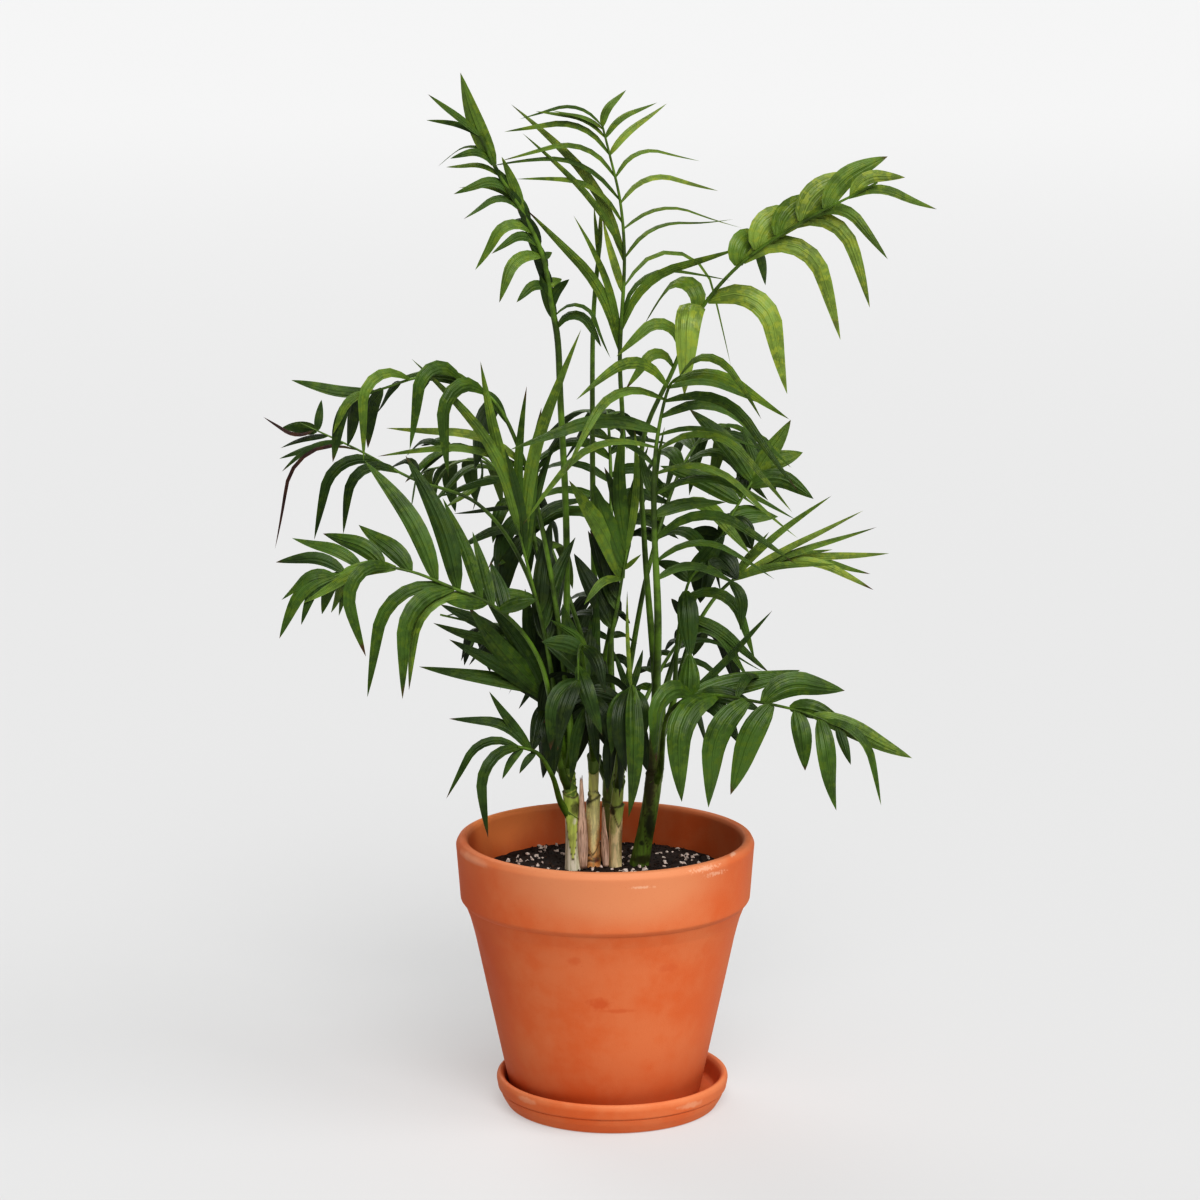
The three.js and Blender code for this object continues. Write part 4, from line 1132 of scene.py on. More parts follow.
def rounded(profile, radius):
    """A profile with its corners rounded and its long stretches divided."""
    points = [np.array(point, float) for point in profile]
    result = [points[0]]
    for before, corner, after in zip(points, points[1:], points[2:]):
        back, ahead = before - corner, after - corner
        reach = min(radius, 0.4 * np.linalg.norm(back), 0.4 * np.linalg.norm(ahead))
        first = corner + back / np.linalg.norm(back) * reach
        last = corner + ahead / np.linalg.norm(ahead) * reach
        for step in range(FILLET_STEPS + 1):
            share = step / FILLET_STEPS
            result.append((1 - share) ** 2 * first + 2 * share * (1 - share) * corner + share**2 * last)
    result.append(points[-1])
    divided = [result[0]]
    for low, high in zip(result, result[1:]):
        length = np.linalg.norm(high - low)
        shares = [1.0]
        if length > 3 * NEAR_EDGE:
            inner = max(1, math.ceil((length - 2 * NEAR_EDGE) / PROFILE_STEP))
            edge = NEAR_EDGE / length
            shares = [edge + (1 - 2 * edge) * step / inner for step in range(inner + 1)] + [1.0]
        divided += [low + (high - low) * share for share in shares]
    return divided


def turned(name, profile, centre, settings, material, wobble):
    """A body turned about a vertical axis. Its profile is closed, or starts and ends on the axis."""
    outline = rounded(profile, settings.fillet)
    closed = profile[0] == profile[-1]
    outline = outline[:-1] if closed else outline
    sides = settings.sides
    points, rows = [], []
    for radius, height in outline:
        if radius < 1e-6:
            rows.append([len(points)])
            points.append((centre, 0.0, height))
            continue
        rows.append(list(range(len(points), len(points) + sides)))
        for angle in np.arange(sides) * math.tau / sides:
            place = Vector((math.cos(angle) * 3, math.sin(angle) * 3, height * 30))
            reach = radius * (1 + wobble * noise.noise(place))
            points.append((centre + reach * math.cos(angle), reach * math.sin(angle), height))
    faces = []
    for low, high in zip(rows, rows[1:] + (rows[:1] if closed else [])):
        for side in range(sides):
            after = (side + 1) % sides
            if len(low) == 1:
                faces.append((low[0], high[after], high[side]))
            elif len(high) == 1:
                faces.append((low[side], low[after], high[0]))
            else:
                faces.append((low[side], low[after], high[after], high[side]))
    return mesh_object(name, points, faces, material, sharp_deg=38)


def inner_radius(height):
    """The pot's inner wall, which runs straight from its floor to its mouth."""
    floor = POT_FOOT + POT_BASE
    share = (height - floor) / (POT_TOP - floor)
    return (POT_WALL_FOOT - POT_WALL) + share * (POT_MOUTH - (POT_WALL_FOOT - POT_WALL))


def make_pot(settings):
    """The tapered pot with its rim band, as a thick wall open at the drain hole."""
    floor = POT_FOOT + POT_BASE
    profile = [
        (POT_DRAIN, POT_FOOT),
        (POT_WALL_FOOT - 1.5 * MM, POT_FOOT),
        (POT_WALL_FOOT, POT_FOOT + 1.8 * MM),
        (POT_NECK, POT_NECK_HEIGHT),
        (POT_NECK + 1.7 * MM, POT_NECK_HEIGHT + 7 * MM),
        (POT_NECK + 3.9 * MM, POT_NECK_HEIGHT + 15 * MM),
        (POT_BAND_BOTTOM - 3.0 * MM, POT_BAND_FOOT - 3.4 * MM),
        (POT_BAND_BOTTOM - 1.8 * MM, POT_BAND_FOOT - 2.4 * MM),
        (POT_BAND_BOTTOM, POT_BAND_FOOT),
        (POT_RIM - 0.4 * MM, POT_TOP - 9 * MM),
        (POT_RIM, POT_TOP - 4.5 * MM),
        (POT_RIM - 2.0 * MM, POT_TOP - 0.6 * MM),
        (POT_RIM - 4.4 * MM, POT_TOP),
        (POT_MOUTH + 1.6 * MM, POT_TOP - 0.5 * MM),
        (POT_MOUTH, POT_TOP - 2.6 * MM),
        (inner_radius(floor), floor),
        (POT_DRAIN, floor),
        (POT_DRAIN, POT_FOOT),
    ]
    # Each mark's centre, half size, raggedness, scale of its edge, tint and strength.
    marks = (
        # The first patch is dusty clay and painted light: it pales the front half of the band, where the
        # light falls.
        ((0.005, -0.10, 0.189), (0.112, 0.08, 0.050), 0.3, 22.0, settings.pale, 0.85),
        # The second patch is painted light: a bright, warm pool on the inner wall at the back left, where
        # light falls past the rim.
        ((-0.068, 0.055, 0.190), (0.045, 0.060, 0.030), 0.3, 40.0, (0.94, 0.34, 0.12), 0.85),
        # The third patch is painted shade: it darkens and reddens the pot's left side.
        ((-0.105, -0.03, 0.10), (0.055, 0.09, 0.14), 0.6, 14.0, (0.52, 0.085, 0.020), 0.6),
        ((0.068, -0.078, 0.190), (0.013, 0.02, 0.0022), 3.2, 620.0, LIME, 0.3),
        ((0.075, -0.073, 0.185), (0.009, 0.02, 0.0018), 3.2, 620.0, LIME, 0.3),
        ((0.088, -0.056, 0.193), (0.003, 0.02, 0.0012), 1.6, 420.0, LIME, 0.4),
        ((0.024, -0.10, 0.183), (0.010, 0.02, 0.0012), 2.8, 520.0, LIME, 0.3),
        ((-0.004, -0.085, 0.096), (0.011, 0.03, 0.006), 1.6, 150.0, BLUSH, 0.6),
        ((0.008, -0.085, 0.091), (0.020, 0.03, 0.0022), 1.2, 150.0, BLUSH, 0.45),
        ((-0.020, -0.08, 0.128), (0.008, 0.03, 0.004), 1.1, 150.0, BLUSH, 0.4),
        ((0.042, -0.075, 0.120), (0.010, 0.03, 0.004), 1.2, 150.0, BLUSH, 0.35),
        ((-0.085, -0.045, 0.189), (0.026, 0.03, 0.004), 0.8, 90.0, RUBBED, 0.5),
    )
    material = clay_material(settings, "pot_clay", marks, POT_FOOT, POT_TOP)
    finish_piece(turned("pot_clay", profile, 0.0, settings, material, 0.0009), "terracotta", "pot")


def make_saucer(settings):
    """The low saucer with its rim band and groove."""
    foot = SAUCER_OUTER - 7.4 * MM
    crest = SAUCER_OUTER - 2.4 * MM
    wall = crest - 3.4 * MM
    profile = [
        (0.0, 0.0),
        (foot - 1 * MM, 0.0),
        (foot, 0.8 * MM),
        (foot + 3.4 * MM, 6.5 * MM),
        (SAUCER_OUTER - 2.6 * MM, 10.2 * MM),
        (SAUCER_OUTER - 3.0 * MM, 11.2 * MM),
        (SAUCER_OUTER - 1.2 * MM, 11.9 * MM),
        (SAUCER_OUTER, 18.5 * MM),
        (SAUCER_OUTER - 0.7 * MM, SAUCER_HEIGHT - 1.2 * MM),
        (crest, SAUCER_HEIGHT),
        (crest - 2 * MM, SAUCER_HEIGHT - 0.9 * MM),
        (wall, SAUCER_HEIGHT - 3 * MM),
        (wall - 2.4 * MM, SAUCER_FLOOR + 2 * MM),
        (wall - 4.4 * MM, SAUCER_FLOOR),
        (0.0, SAUCER_FLOOR),
    ]
    marks = (
        ((0.060, -0.062, 0.016), (0.012, 0.02, 0.003), 1.2, 200.0, RUBBED, 0.5),
        ((-0.055, -0.060, 0.018), (0.010, 0.02, 0.003), 1.2, 200.0, RUBBED, 0.4),
    )
    material = clay_material(settings, "saucer_clay", marks, -0.02, SAUCER_HEIGHT)
    piece = turned("saucer_clay", profile, SAUCER_CENTRE, settings, material, 0.0007)
    finish_piece(piece, "terracotta", "saucer")


# ---- soil ----

SOIL_FLAT = 50 * MM  # the bed is level out to here
SOIL_EDGE = 166 * MM  # its height at the wall
SOIL_RINGS = 46
SOIL_SIDES = 144
SCATTER_RINGS = 20
SCATTER_SIDES = 60
SCATTER_CLEAR = 4 * MM  # crumbs keep this far from the wall
SCATTER_SUNK = 0.2 * MM
WALL_CLEAR = 0.5 * MM
# Each size of lump: what sets its pattern, its scale, and how high it stands in millimetres.
SOIL_LUMPS = ((0.3, 70, 1.5), (2.1, 190, 0.9), (4.4, 480, 0.5))
SOIL_SETTLED = 0.7  # how far the lumps are let down, in millimetres
CRUMB_SCALE = 700.0  # of the clouds that make the crumbs ragged


def soil_height(x, y):
    """The bed is level in the middle, sinks to the wall and has lumps."""
    away = math.hypot(x, y)
    edge = inner_radius(SOIL_EDGE) - WALL_CLEAR
    share = min(1.0, max(0.0, (away - SOIL_FLAT) / (edge - SOIL_FLAT)))
    sink = (SOIL_TOP - SOIL_EDGE) * share**1.6
    lumps = sum(noise.noise(Vector((x, y, pattern)) * scale) * tall for pattern, scale, tall in SOIL_LUMPS)
    return SOIL_TOP - sink + (lumps - SOIL_SETTLED) * MM


def outward_faces(start, sides):
    """Faces between a ring of points and the wider one that follows it, seen from above."""
    faces = ring_faces(start, sides)
    return [(low, beyond, next_beyond, after) for low, after, next_beyond, beyond in faces]


def soil_disc(radius, rings, sides, sunk):
    """Points and faces of the bed's top, from its middle outwards."""
    points = [(0.0, 0.0, soil_height(0.0, 0.0))]
    for ring in range(1, rings + 1):
        reach = radius * ring / rings
        for side in range(sides):
            angle = side * math.tau / sides
            x, y = reach * math.cos(angle), reach * math.sin(angle)
            points.append((x, y, soil_height(x, y) - sunk))
    faces = [(0, 1 + side, 1 + (side + 1) % sides) for side in range(sides)]
    for ring in range(rings - 1):
        faces += outward_faces(1 + ring * sides, sides)
    return points, faces


def make_soil_bed(material):
    """The potting mix, a closed body with a lumpy top."""
    points, faces = soil_disc(inner_radius(SOIL_EDGE) - WALL_CLEAR, SOIL_RINGS, SOIL_SIDES, 0.0)
    bottom = len(points)
    low = inner_radius(SOIL_BOTTOM) - WALL_CLEAR
    for side in range(SOIL_SIDES):
        angle = side * math.tau / SOIL_SIDES
        points.append((low * math.cos(angle), low * math.sin(angle), SOIL_BOTTOM))
    faces += outward_faces(bottom - SOIL_SIDES, SOIL_SIDES)
    faces.append(tuple(bottom + side for side in reversed(range(SOIL_SIDES))))
    finish_piece(mesh_object("soil_bed", points, faces, material, sharp_deg=60), "potting_soil", "soil")


def end_tree(out, geometry, material):
    """Ends a tree with its material."""
    ending = {"Geometry": geometry, "Material": material}
    feed(out["Geometry"], add(geometry.tree, "GeometryNodeSetMaterial", ending))


def make_scatter_tree():
    """Crumbs scattered over a mesh, each of its own shape and size."""
    inputs = {
        "Geometry": "Geometry",
        "Density": "Float",
        "Seed": "Int",
        "Smallest": "Vector",
        "Largest": "Vector",
        "Detail": "Int",
        "Ragged": "Float",
        "Material": "Material",
    }
    tree, given, out = group_of("scatter", "GeometryNodeTree", inputs, {"Geometry": "Geometry"})
    seed = given["Seed"]
    spread = {"Mesh": given["Geometry"], "Density": given["Density"], "Seed": seed}
    turns = {"Max": (math.tau, math.tau, math.tau), "Seed": seed}
    sizes = {"Min": given["Smallest"], "Max": given["Largest"], "Seed": seed + 7}
    points = add(tree, "GeometryNodeDistributePointsOnFaces", spread)
    crumb = add(tree, "GeometryNodeMeshIcoSphere", {"Radius": 1.0, "Subdivisions": given["Detail"]})
    turn = add(tree, "FunctionNodeRandomValue", turns, data_type="FLOAT_VECTOR")
    size = add(tree, "FunctionNodeRandomValue", sizes, data_type="FLOAT_VECTOR")
    placing = {"Points": points, "Instance": crumb, "Rotation": turn, "Scale": size}
    placed = add(tree, "GeometryNodeInstanceOnPoints", placing)
    real = add(tree, "GeometryNodeRealizeInstances", {"Geometry": placed})
    cloud = {"Vector": add(tree, "GeometryNodeInputPosition"), "Scale": CRUMB_SCALE, "Detail": 1.0}
    rough = add(tree, "ShaderNodeTexNoise", cloud, output="Color")
    push = (rough - (0.5, 0.5, 0.5)) * given["Ragged"]
    shaped = add(tree, "GeometryNodeSetPosition", {"Geometry": real, "Offset": push})
    end_tree(out, shaped, given["Material"])
    return tree


def make_soil(settings):
    """The bed, its dark crumbs and its white bits."""
    warm = (0.045, 0.026, 0.019)
    make_soil_bed(crumb_material("soil_mix", settings.dark, warm, 0.85))
    scatter_edge = inner_radius(SOIL_EDGE) - WALL_CLEAR - SCATTER_CLEAR
    points, faces = soil_disc(scatter_edge, SCATTER_RINGS, SCATTER_SIDES, SCATTER_SUNK)
    bed = bpy.data.meshes.new("soil_top")
    bed.from_pydata(points, [], faces)
    tree = make_scatter_tree()
    # Each kind's density, least and greatest half size in millimetres, detail, raggedness and two colours.
    bark, pale = (0.10, 0.055, 0.035), (0.80, 0.70, 0.64)
    kinds = {
        "soil_crumbs": (settings.crumbs, (0.5, 0.5, 0.3), (1.9, 1.6, 1.0), 1, 0.0012, settings.dark, warm),
        "soil_bark": (settings.crumbs * 0.10, (1.0, 0.5, 0.4), (4.0, 1.3, 0.9), 1, 0.0016, warm, bark),
        "perlite": (settings.perlite, (0.9, 0.7, 0.4), (3.6, 2.3, 1.4), 2, 0.0030, settings.white, pale),
    }
    for number, (name, kind) in enumerate(kinds.items()):
        density, least, most, detail, ragged, first, second = kind
        values = {
            "Density": density,
            "Seed": settings.seed + number,
            "Smallest": [part * MM for part in least],
            "Largest": [part * MM for part in most],
            "Detail": detail,
            "Ragged": ragged,
            "Material": crumb_material(name, first, second, 0.8),
        }
        finish_piece(grown(name, bed, tree, values), "potting_soil")


# ---- canes and sheaths ----


def cane_centre(cane, share):
    """The middle of a cane at a share of its height, in metres. A leaning cane bows a little."""
    foot = np.array((*cane["foot"], CANE_FOOT / MM)) * MM
    tip = np.array(cane["tip"]) * MM
    centre = foot + (tip - foot) * share
    centre[0] -= (tip[0] - foot[0]) * cane["bow"] * math.sin(math.pi * share)
    return centre


def bell(value, centre, width):
    return math.exp(-(((value - centre) / width) ** 2))


def step(value, width):
    """From 0 to 1 as a value passes nought."""
    return 0.5 + 0.5 * math.tanh(value / width)


def make_cane(name, cane, settings):
    """A cane with a swollen foot, rings where old leaves stood, and the edges of the sheaths round it."""
    low, above, high = cane["radii"]
    sides, rings = settings.sides, settings.rings
    height = cane["tip"][2] - CANE_FOOT / MM
    points, painted = [], []
    for ring in range(rings):
        share = ring / (rings - 1)
        centre = cane_centre(cane, share)
        level = centre[2] / MM
        flare = (low - above) * max(0.0, 1 - share / (2.2 * CANE_FLARE)) ** 1.5
        for side in range(sides):
            angle = side * math.tau / sides
            radius = above + (high - above) * share + flare
            where = (math.cos(angle) * 1.5, math.sin(angle) * 1.5, level * 0.09 + len(name))
            uneven = noise.noise(Vector(where))
            dark = 0.0
            for number, ring_level in enumerate(cane["scars"]):
                tilted = ring_level + 1.6 * math.cos(angle - 2.1 * number) + 1.5 * uneven
                ridge = bell(level, tilted, 0.9) - 0.9 * bell(level, tilted + 1.8, 0.9)
                radius += settings.scar / MM * ridge
                dark = max(dark, (0.75 + uneven) * bell(level, tilted + 1.2, 0.7))
            covers = []
            for towards, edge_height, rise, spread, proud in cane["edges"]:
                away = abs((math.degrees(angle) - towards + 180) % 360 - 180)
                line = edge_height + rise * min(1.0, away / spread) ** 1.3 + uneven
                radius += proud * step(level - line, 0.45)
                covers.append(step(level - line, cane["blend"]))
                dark = max(dark, bell(level, line, 0.75) * (1.0 if away < spread and proud else 0.0))
            radius *= 1 + 0.05 * uneven + 0.018 * math.cos(angle * 7 + level * 0.05)
            points.append(centre + radius * MM * around(angle))
            painted.append(((level - CANE_FOOT / MM) / height, min(1.0, dark), covers[0]))
    for side in range(sides):
        points[side][2] -= CANE_SUNK
    streak = shaded(cane["colours"][1], 0.45)
    material = stem_material(name + "_skin", cane["colours"], streak, cane["marks"])
    piece = mesh_object(name + "_stem", points, tube_faces(sides, rings), material, sharp_deg=50)
    paint(piece.data, "paint", painted)
    finish_piece(piece, "cane", name)


def make_dry_sheath(name, sheath, material):
    """A papery strip that curls round its cane's side and ends in a torn tip."""
    columns, rows = 9, 26
    foot = np.array(sheath["foot"]) * MM
    tip = np.array(sheath["tip"]) * MM
    along = unit(tip - foot)
    side = np.array(sheath["side"], float)
    side = unit(side - along * side.dot(along))
    out = np.cross(side, along)
    points = []
    for row in range(rows):
        share = row / (rows - 1)
        belly = 0.62 + 0.38 * math.sin(math.pi * min(1.0, share * 1.5))
        half = sheath["width"] / 2 * belly * (1 - 0.6 * share**3) * MM
        for column in range(columns):
            x = 2 * column / (columns - 1) - 1
            curl = 0.55 * (1 - x * x) * half
            torn = (0.06 * noise.noise(Vector((x * 3, len(name), 1.0))) + 0.03 * math.cos(x * 9)) * share**3
            wave = 0.25 * MM * noise.noise(Vector((x * 2, share * 6, len(name))))
            centre = foot + (tip - foot) * (share * (1 + torn))
            points.append(centre + side * (half * x) + out * (curl + wave))
    corners = [row * columns + column for row in range(rows - 1) for column in range(columns - 1)]
    faces = [(low, low + 1, low + 1 + columns, low + columns) for low in corners]
    piece = mesh_object(name + "_paper", points, faces, material)
    thicken(piece, PAPER_WALL, 0)
    finish_piece(piece, "dry_sheath", name)


# ---- fronds ----


def random_from(seed):
    """Small repeatable random numbers, from 0 to 1."""
    state = seed

    def draw():
        nonlocal state
        state = (state * 75 + 74) % 65537
        return state / 65537

    return draw


def lerp(first, second, share):
    return first + (second - first) * share


def clamped(value):
    return min(1.0, max(0.0, value))


def unit(vector):
    return vector / np.linalg.norm(vector)


def square_to(direction, vector):
    """The part of a vector that lies square to a direction, with length 1."""
    return unit(vector - direction * vector.dot(direction))


def towards(ahead, other, angle):
    """A direction turned by an angle towards one that is square to it."""
    return ahead * math.cos(angle) + other * math.sin(angle)


def three_way(values, share):
    """A value given at the foot, middle and tip of the leafy part."""
    first, middle, last = values
    return lerp(first, middle, share * 2) if share < 0.5 else lerp(middle, last, share * 2 - 1)


class RibLine:
    """A centripetal curve through points, read by its share of length."""

    STEPS = 40
    NEAR = 0.004  # half the share over which its direction is read

    def __init__(self, points):
        through = [2 * points[0] - points[1], *points, 2 * points[-1] - points[-2]]
        places = []
        for before, start, end, after in zip(through, through[1:], through[2:], through[3:]):
            steps = (start - before, end - start, after - end)
            gaps = [math.sqrt(np.linalg.norm(step)) for step in steps]
            first = self.slope(before, start, end, gaps[0], gaps[1]) * gaps[1]
            last = self.slope(start, end, after, gaps[1], gaps[2]) * gaps[1]
            for step in range(self.STEPS):
                places.append(self.hermite(start, end, first, last, step / self.STEPS))
        places.append(points[-1])
        self.places = np.array(places)
        lengths = np.linalg.norm(np.diff(self.places, axis=0), axis=1)
        self.length = lengths.sum()
        self.shares = np.concatenate(([0.0], np.cumsum(lengths))) / self.length

    @staticmethod
    def slope(before, here, after, gap, next_gap):
        return (here - before) / gap - (after - before) / (gap + next_gap) + (after - here) / next_gap

    @staticmethod
    def hermite(start, end, first, last, t):
        square, cube = t * t, t * t * t
        from_points = (2 * cube - 3 * square + 1) * start + (3 * square - 2 * cube) * end
        return from_points + (cube - 2 * square + t) * first + (cube - square) * last

    def at(self, share):
        return np.array([np.interp(share, self.shares, self.places[:, axis]) for axis in range(3)])

    def along(self, share):
        return unit(self.at(min(1.0, share + self.NEAR)) - self.at(max(0.0, share - self.NEAR)))


def rib_line(frond):
    """The line of a frond's petiole and rib, from the middle of its cane, in metres."""
    cane_name, height, *azimuth = frond["grows"]
    cane = CANES[cane_name]
    share = (height * MM - CANE_FOOT) / (cane["tip"][2] * MM - CANE_FOOT)
    points = [cane_centre(cane, share)]
    if azimuth:
        angle = math.radians(azimuth[0])
        collar = np.array((math.cos(angle) * COLLAR_OUT, math.sin(angle) * COLLAR_OUT, COLLAR_RISE))
        points.append(points[0] + collar * MM)
    return RibLine(points + [np.array(point) * MM for point in frond["path"]])


def waywardness(random):
    """How much one leaflet twists, bows sideways and waves."""
    return tuple(most * (2 * random() - 1) for most in (LEAF_TWIST, LEAF_SICKLE, LEAF_WAVE))


def leaf_from(start, ahead, down, normal, size, stray, tone=None):
    """A leaflet's place, first direction, the way it bends and faces, its sizes, its strays and its tone."""
    facing = (normal.dot(down), normal.dot(np.cross(ahead, down)), 0.0)
    return {
        "start": start,
        "ahead": ahead,
        "down": down,
        "normal": facing,
        "size": size,
        "stray": stray,
        "tone": tone,
    }


def leaf_at(frond, line, place, side, sizes, stray):
    """A paired leaflet, by the rule of its frond."""
    sweep, lift, length, width, droop = sizes
    along = line.along(place)
    face = square_to(along, np.array(frond["face"], float))
    out = towards(np.cross(along, face) * side, face, math.radians(lift))
    ahead = unit(towards(along, out, math.radians(sweep)))
    down = square_to(ahead, DOWN + out * LEAF_SPREAD)
    steepest = math.acos(max(-1.0, min(1.0, -ahead[2]))) - math.radians(SLACK_DEG)
    bend = max(LEAST_BEND, min(math.radians(droop), steepest))
    normal = square_to(ahead, face * (1 - frond["level"]) - down * frond["level"])
    return leaf_from(line.at(place), ahead, down, normal, (length * MM, width / 2 * MM, bend), stray)


def leaf_to(frond, line, leaf, stray):
    """A single leaflet, bent evenly so that its tip comes where it should."""
    place, right, back, above, droop, width, flat, *tone = leaf
    reach = np.array((right, back, above)) * MM
    chord = unit(reach)
    fall = square_to(chord, DOWN)
    bend = math.copysign(max(LEAST_BEND, math.radians(abs(droop))), droop)
    rate = bend / (LEAF_BENT - LEAF_STIFF)
    forward = LEAF_STIFF + math.sin(bend) / rate + (1 - LEAF_BENT) * math.cos(bend)
    fallen = (1 - math.cos(bend)) / rate + (1 - LEAF_BENT) * math.sin(bend)
    tilt = math.atan2(fallen, forward)
    ahead = chord * math.cos(tilt) - fall * math.sin(tilt)
    down = chord * math.sin(tilt) + fall * math.cos(tilt)
    normal = unit(square_to(ahead, FRONT) * (1 - flat) - down * flat)
    sizes = (np.linalg.norm(reach) / math.hypot(forward, fallen), width / 2 * MM, bend)
    return leaf_from(line.at(place), ahead, down, normal, sizes, stray, tone[0] if tone else frond["leaf"])


def leaflets(frond, seed):
    """Every leaflet of a frond: its pairs, each jittered a little, then its single ones."""
    line = rib_line(frond)
    random = random_from(seed)
    pairs = frond["pairs"]
    found = []
    for pair in range(pairs):
        for which, side in enumerate((-1, 1)):
            jitter = [random() - 0.5 for _ in range(4)]
            step = pair / max(1, pairs - 1) - (PAIR_STAGGER / pairs if side < 0 else 0)
            share = clamped(step + PLACE_JITTER * jitter[3] / pairs)
            sizes = (
                three_way(frond["sweep"], share) + JITTER_DEG * jitter[0],
                PAIR_LIFT + JITTER_DEG * jitter[1],
                three_way(frond["length"], share) * frond["scale"][which] * (1 + LENGTH_JITTER * jitter[2]),
                frond["width"] * (0.8 + 0.2 * math.sin(math.pi * (0.25 + 0.6 * share))),
                three_way(frond["droop"], share) * (1 + DROOP_JITTER * jitter[0]),
            )
            place = lerp(frond["bare"], LAST_PAIR, share)
            found.append(leaf_at(frond, line, place, side, sizes, waywardness(random)))
    for leaf in frond["leaves"]:
        found.append(leaf_to(frond, line, leaf, waywardness(random)))
    return found


def make_leaf_tree():
    """Bends a small grid into a leaflet at each point, from the point's own directions and sizes."""
    inputs = {
        "Geometry": "Geometry",
        "Columns": "Int",
        "Rows": "Int",
        "Stiff": "Float",
        "Bent": "Float",
        "Fold": "Float",
        "Pleat": "Float",
        "Material": "Material",
    }
    tree, given, out = group_of("leaflets", "GeometryNodeTree", inputs, {"Geometry": "Geometry"})

    def read(name):
        inputs = {"Name": name}
        return add(tree, "GeometryNodeInputNamedAttribute", inputs, "Attribute", data_type="FLOAT_VECTOR")

    size = {"Size X": 1.0, "Size Y": 1.0, "Vertices X": given["Columns"], "Vertices Y": given["Rows"]}
    grid = add(tree, "GeometryNodeMeshGrid", size, output="Mesh")
    grid_map = Wire(grid.socket.node.outputs["UV Map"])
    kept = {"Geometry": grid, "Name": "UVMap", "Value": grid_map}
    mapped = add(tree, "GeometryNodeStoreNamedAttribute", kept, data_type="FLOAT2", domain="CORNER")
    placing = {"Points": given["Geometry"], "Instance": mapped}
    placed = add(tree, "GeometryNodeInstanceOnPoints", placing)
    real = add(tree, "GeometryNodeRealizeInstances", {"Geometry": placed})

    column, share, _ = split(read("UVMap"))
    length, half, bend = split(read("size"))
    on_down, on_third, _ = split(read("normal"))
    twist, sickle, wave = split(read("stray"))
    ahead, down = read("ahead"), read("down")
    third = ahead.by("CROSS_PRODUCT", down)

    # The blade's middle line: straight, then bent evenly, then straight on.
    straight = share.by("MINIMUM", given["Stiff"])
    beyond = (share - given["Bent"]).by("MAXIMUM", 0.0)
    rate = bend / (given["Bent"] - given["Stiff"])
    turn = rate * (share - straight - beyond)
    cosine, sine = turn.by("COSINE"), turn.by("SINE")
    forward = straight + sine / rate + beyond * cosine
    fallen = (1.0 - cosine) / rate + beyond * sine
    heading = ahead * cosine + down * sine
    inward = down * cosine - ahead * sine

    # The way its upper side looks, turned by its twist.
    level_up = inward * on_down + third * on_third
    level_across = heading.by("CROSS_PRODUCT", level_up)
    twisted = twist * share
    up = level_up * twisted.by("COSINE") + level_across * twisted.by("SINE")
    across = heading.by("CROSS_PRODUCT", up)
    bowed = (share * math.pi).by("SINE") * sickle * length
    waved = (share * math.tau).by("SINE") * wave * length

    # Its outline, widest at a third of its length, and its pleats.
    rising = (share + LEAF_ROOT) ** LEAF_WIDENS
    closing = (1.0 - share) ** LEAF_CLOSES
    breadth = half * (rising * closing / LEAF_PEAK)
    x = column * 2.0 - 1.0
    side = x.by("ABSOLUTE")
    pleat = (side * math.pi).by("SINE") * given["Pleat"]
    rise = breadth * (pleat - side * given["Fold"])
    position = read("start") + ahead * (forward * length) + down * (fallen * length)
    position = position + across * (breadth * x) + up * rise + level_across * bowed + level_up * waved
    bent = add(tree, "GeometryNodeSetPosition", {"Geometry": real, "Position": position})
    joined = add(tree, "GeometryNodeMergeByDistance", {"Geometry": bent, "Distance": LEAF_WELD})
    end_tree(out, add(tree, "GeometryNodeSetShadeSmooth", {"Geometry": joined}), given["Material"])
    return tree


def make_stalk_tree():
    """A round stalk along each line, as thick as the line's own points say."""
    inputs = {"Geometry": "Geometry", "Sides": "Int", "Material": "Material"}
    tree, given, out = group_of("stalks", "GeometryNodeTree", inputs, {"Geometry": "Geometry"})
    line = add(tree, "GeometryNodeMeshToCurve", {"Mesh": given["Geometry"]})
    circle = add(tree, "GeometryNodeCurvePrimitiveCircle", {"Resolution": given["Sides"], "Radius": 1.0})
    named = {"Name": "thickness"}
    thickness = add(tree, "GeometryNodeInputNamedAttribute", named, "Attribute", data_type="FLOAT")
    sweep = {"Curve": line, "Profile Curve": circle, "Scale": thickness, "Fill Caps": True}
    tube = add(tree, "GeometryNodeCurveToMesh", sweep)
    real = add(tree, "GeometryNodeRealizeInstances", {"Geometry": tube})
    end_tree(out, add(tree, "GeometryNodeSetShadeSmooth", {"Geometry": real}), given["Material"])
    return tree


def stalk_radius(frond, place):
    """A petiole is thick where it leaves its cane, then tapers, and the rib tapers on to its tip."""
    foot, neck, tip = frond["rib"]
    if place > frond["bare"]:
        return lerp(neck, tip, (place - frond["bare"]) / (1 - frond["bare"])) * MM
    share = place / frond["bare"]
    return (lerp(foot, neck, share) + FOOT_SWELL * math.exp(-share * FOOT_FADES)) * MM


def make_stalks(fronds, material):
    """All the petioles and ribs as one piece."""
    points, edges, thickness = [], [], []
    for frond in fronds.values():
        line = rib_line(frond)
        steps = math.ceil(line.length / RIB_STEP)
        for step in range(steps + 1):
            place = step / steps
            if step:
                edges.append((len(points) - 1, len(points)))
            points.append(line.at(place))
            thickness.append(stalk_radius(frond, place))
    mesh = bpy.data.meshes.new("stalk_lines")
    mesh.from_pydata(plain(points), edges, [])
    attribute = mesh.attributes.new("thickness", "FLOAT", "POINT")
    attribute.data.foreach_set("value", np.asarray(thickness, np.float32))
    values = {"Sides": STALK_SIDES, "Material": material}
    finish_piece(grown("petioles_and_ribs", mesh, make_stalk_tree(), values), "leaf_mid", *fronds)


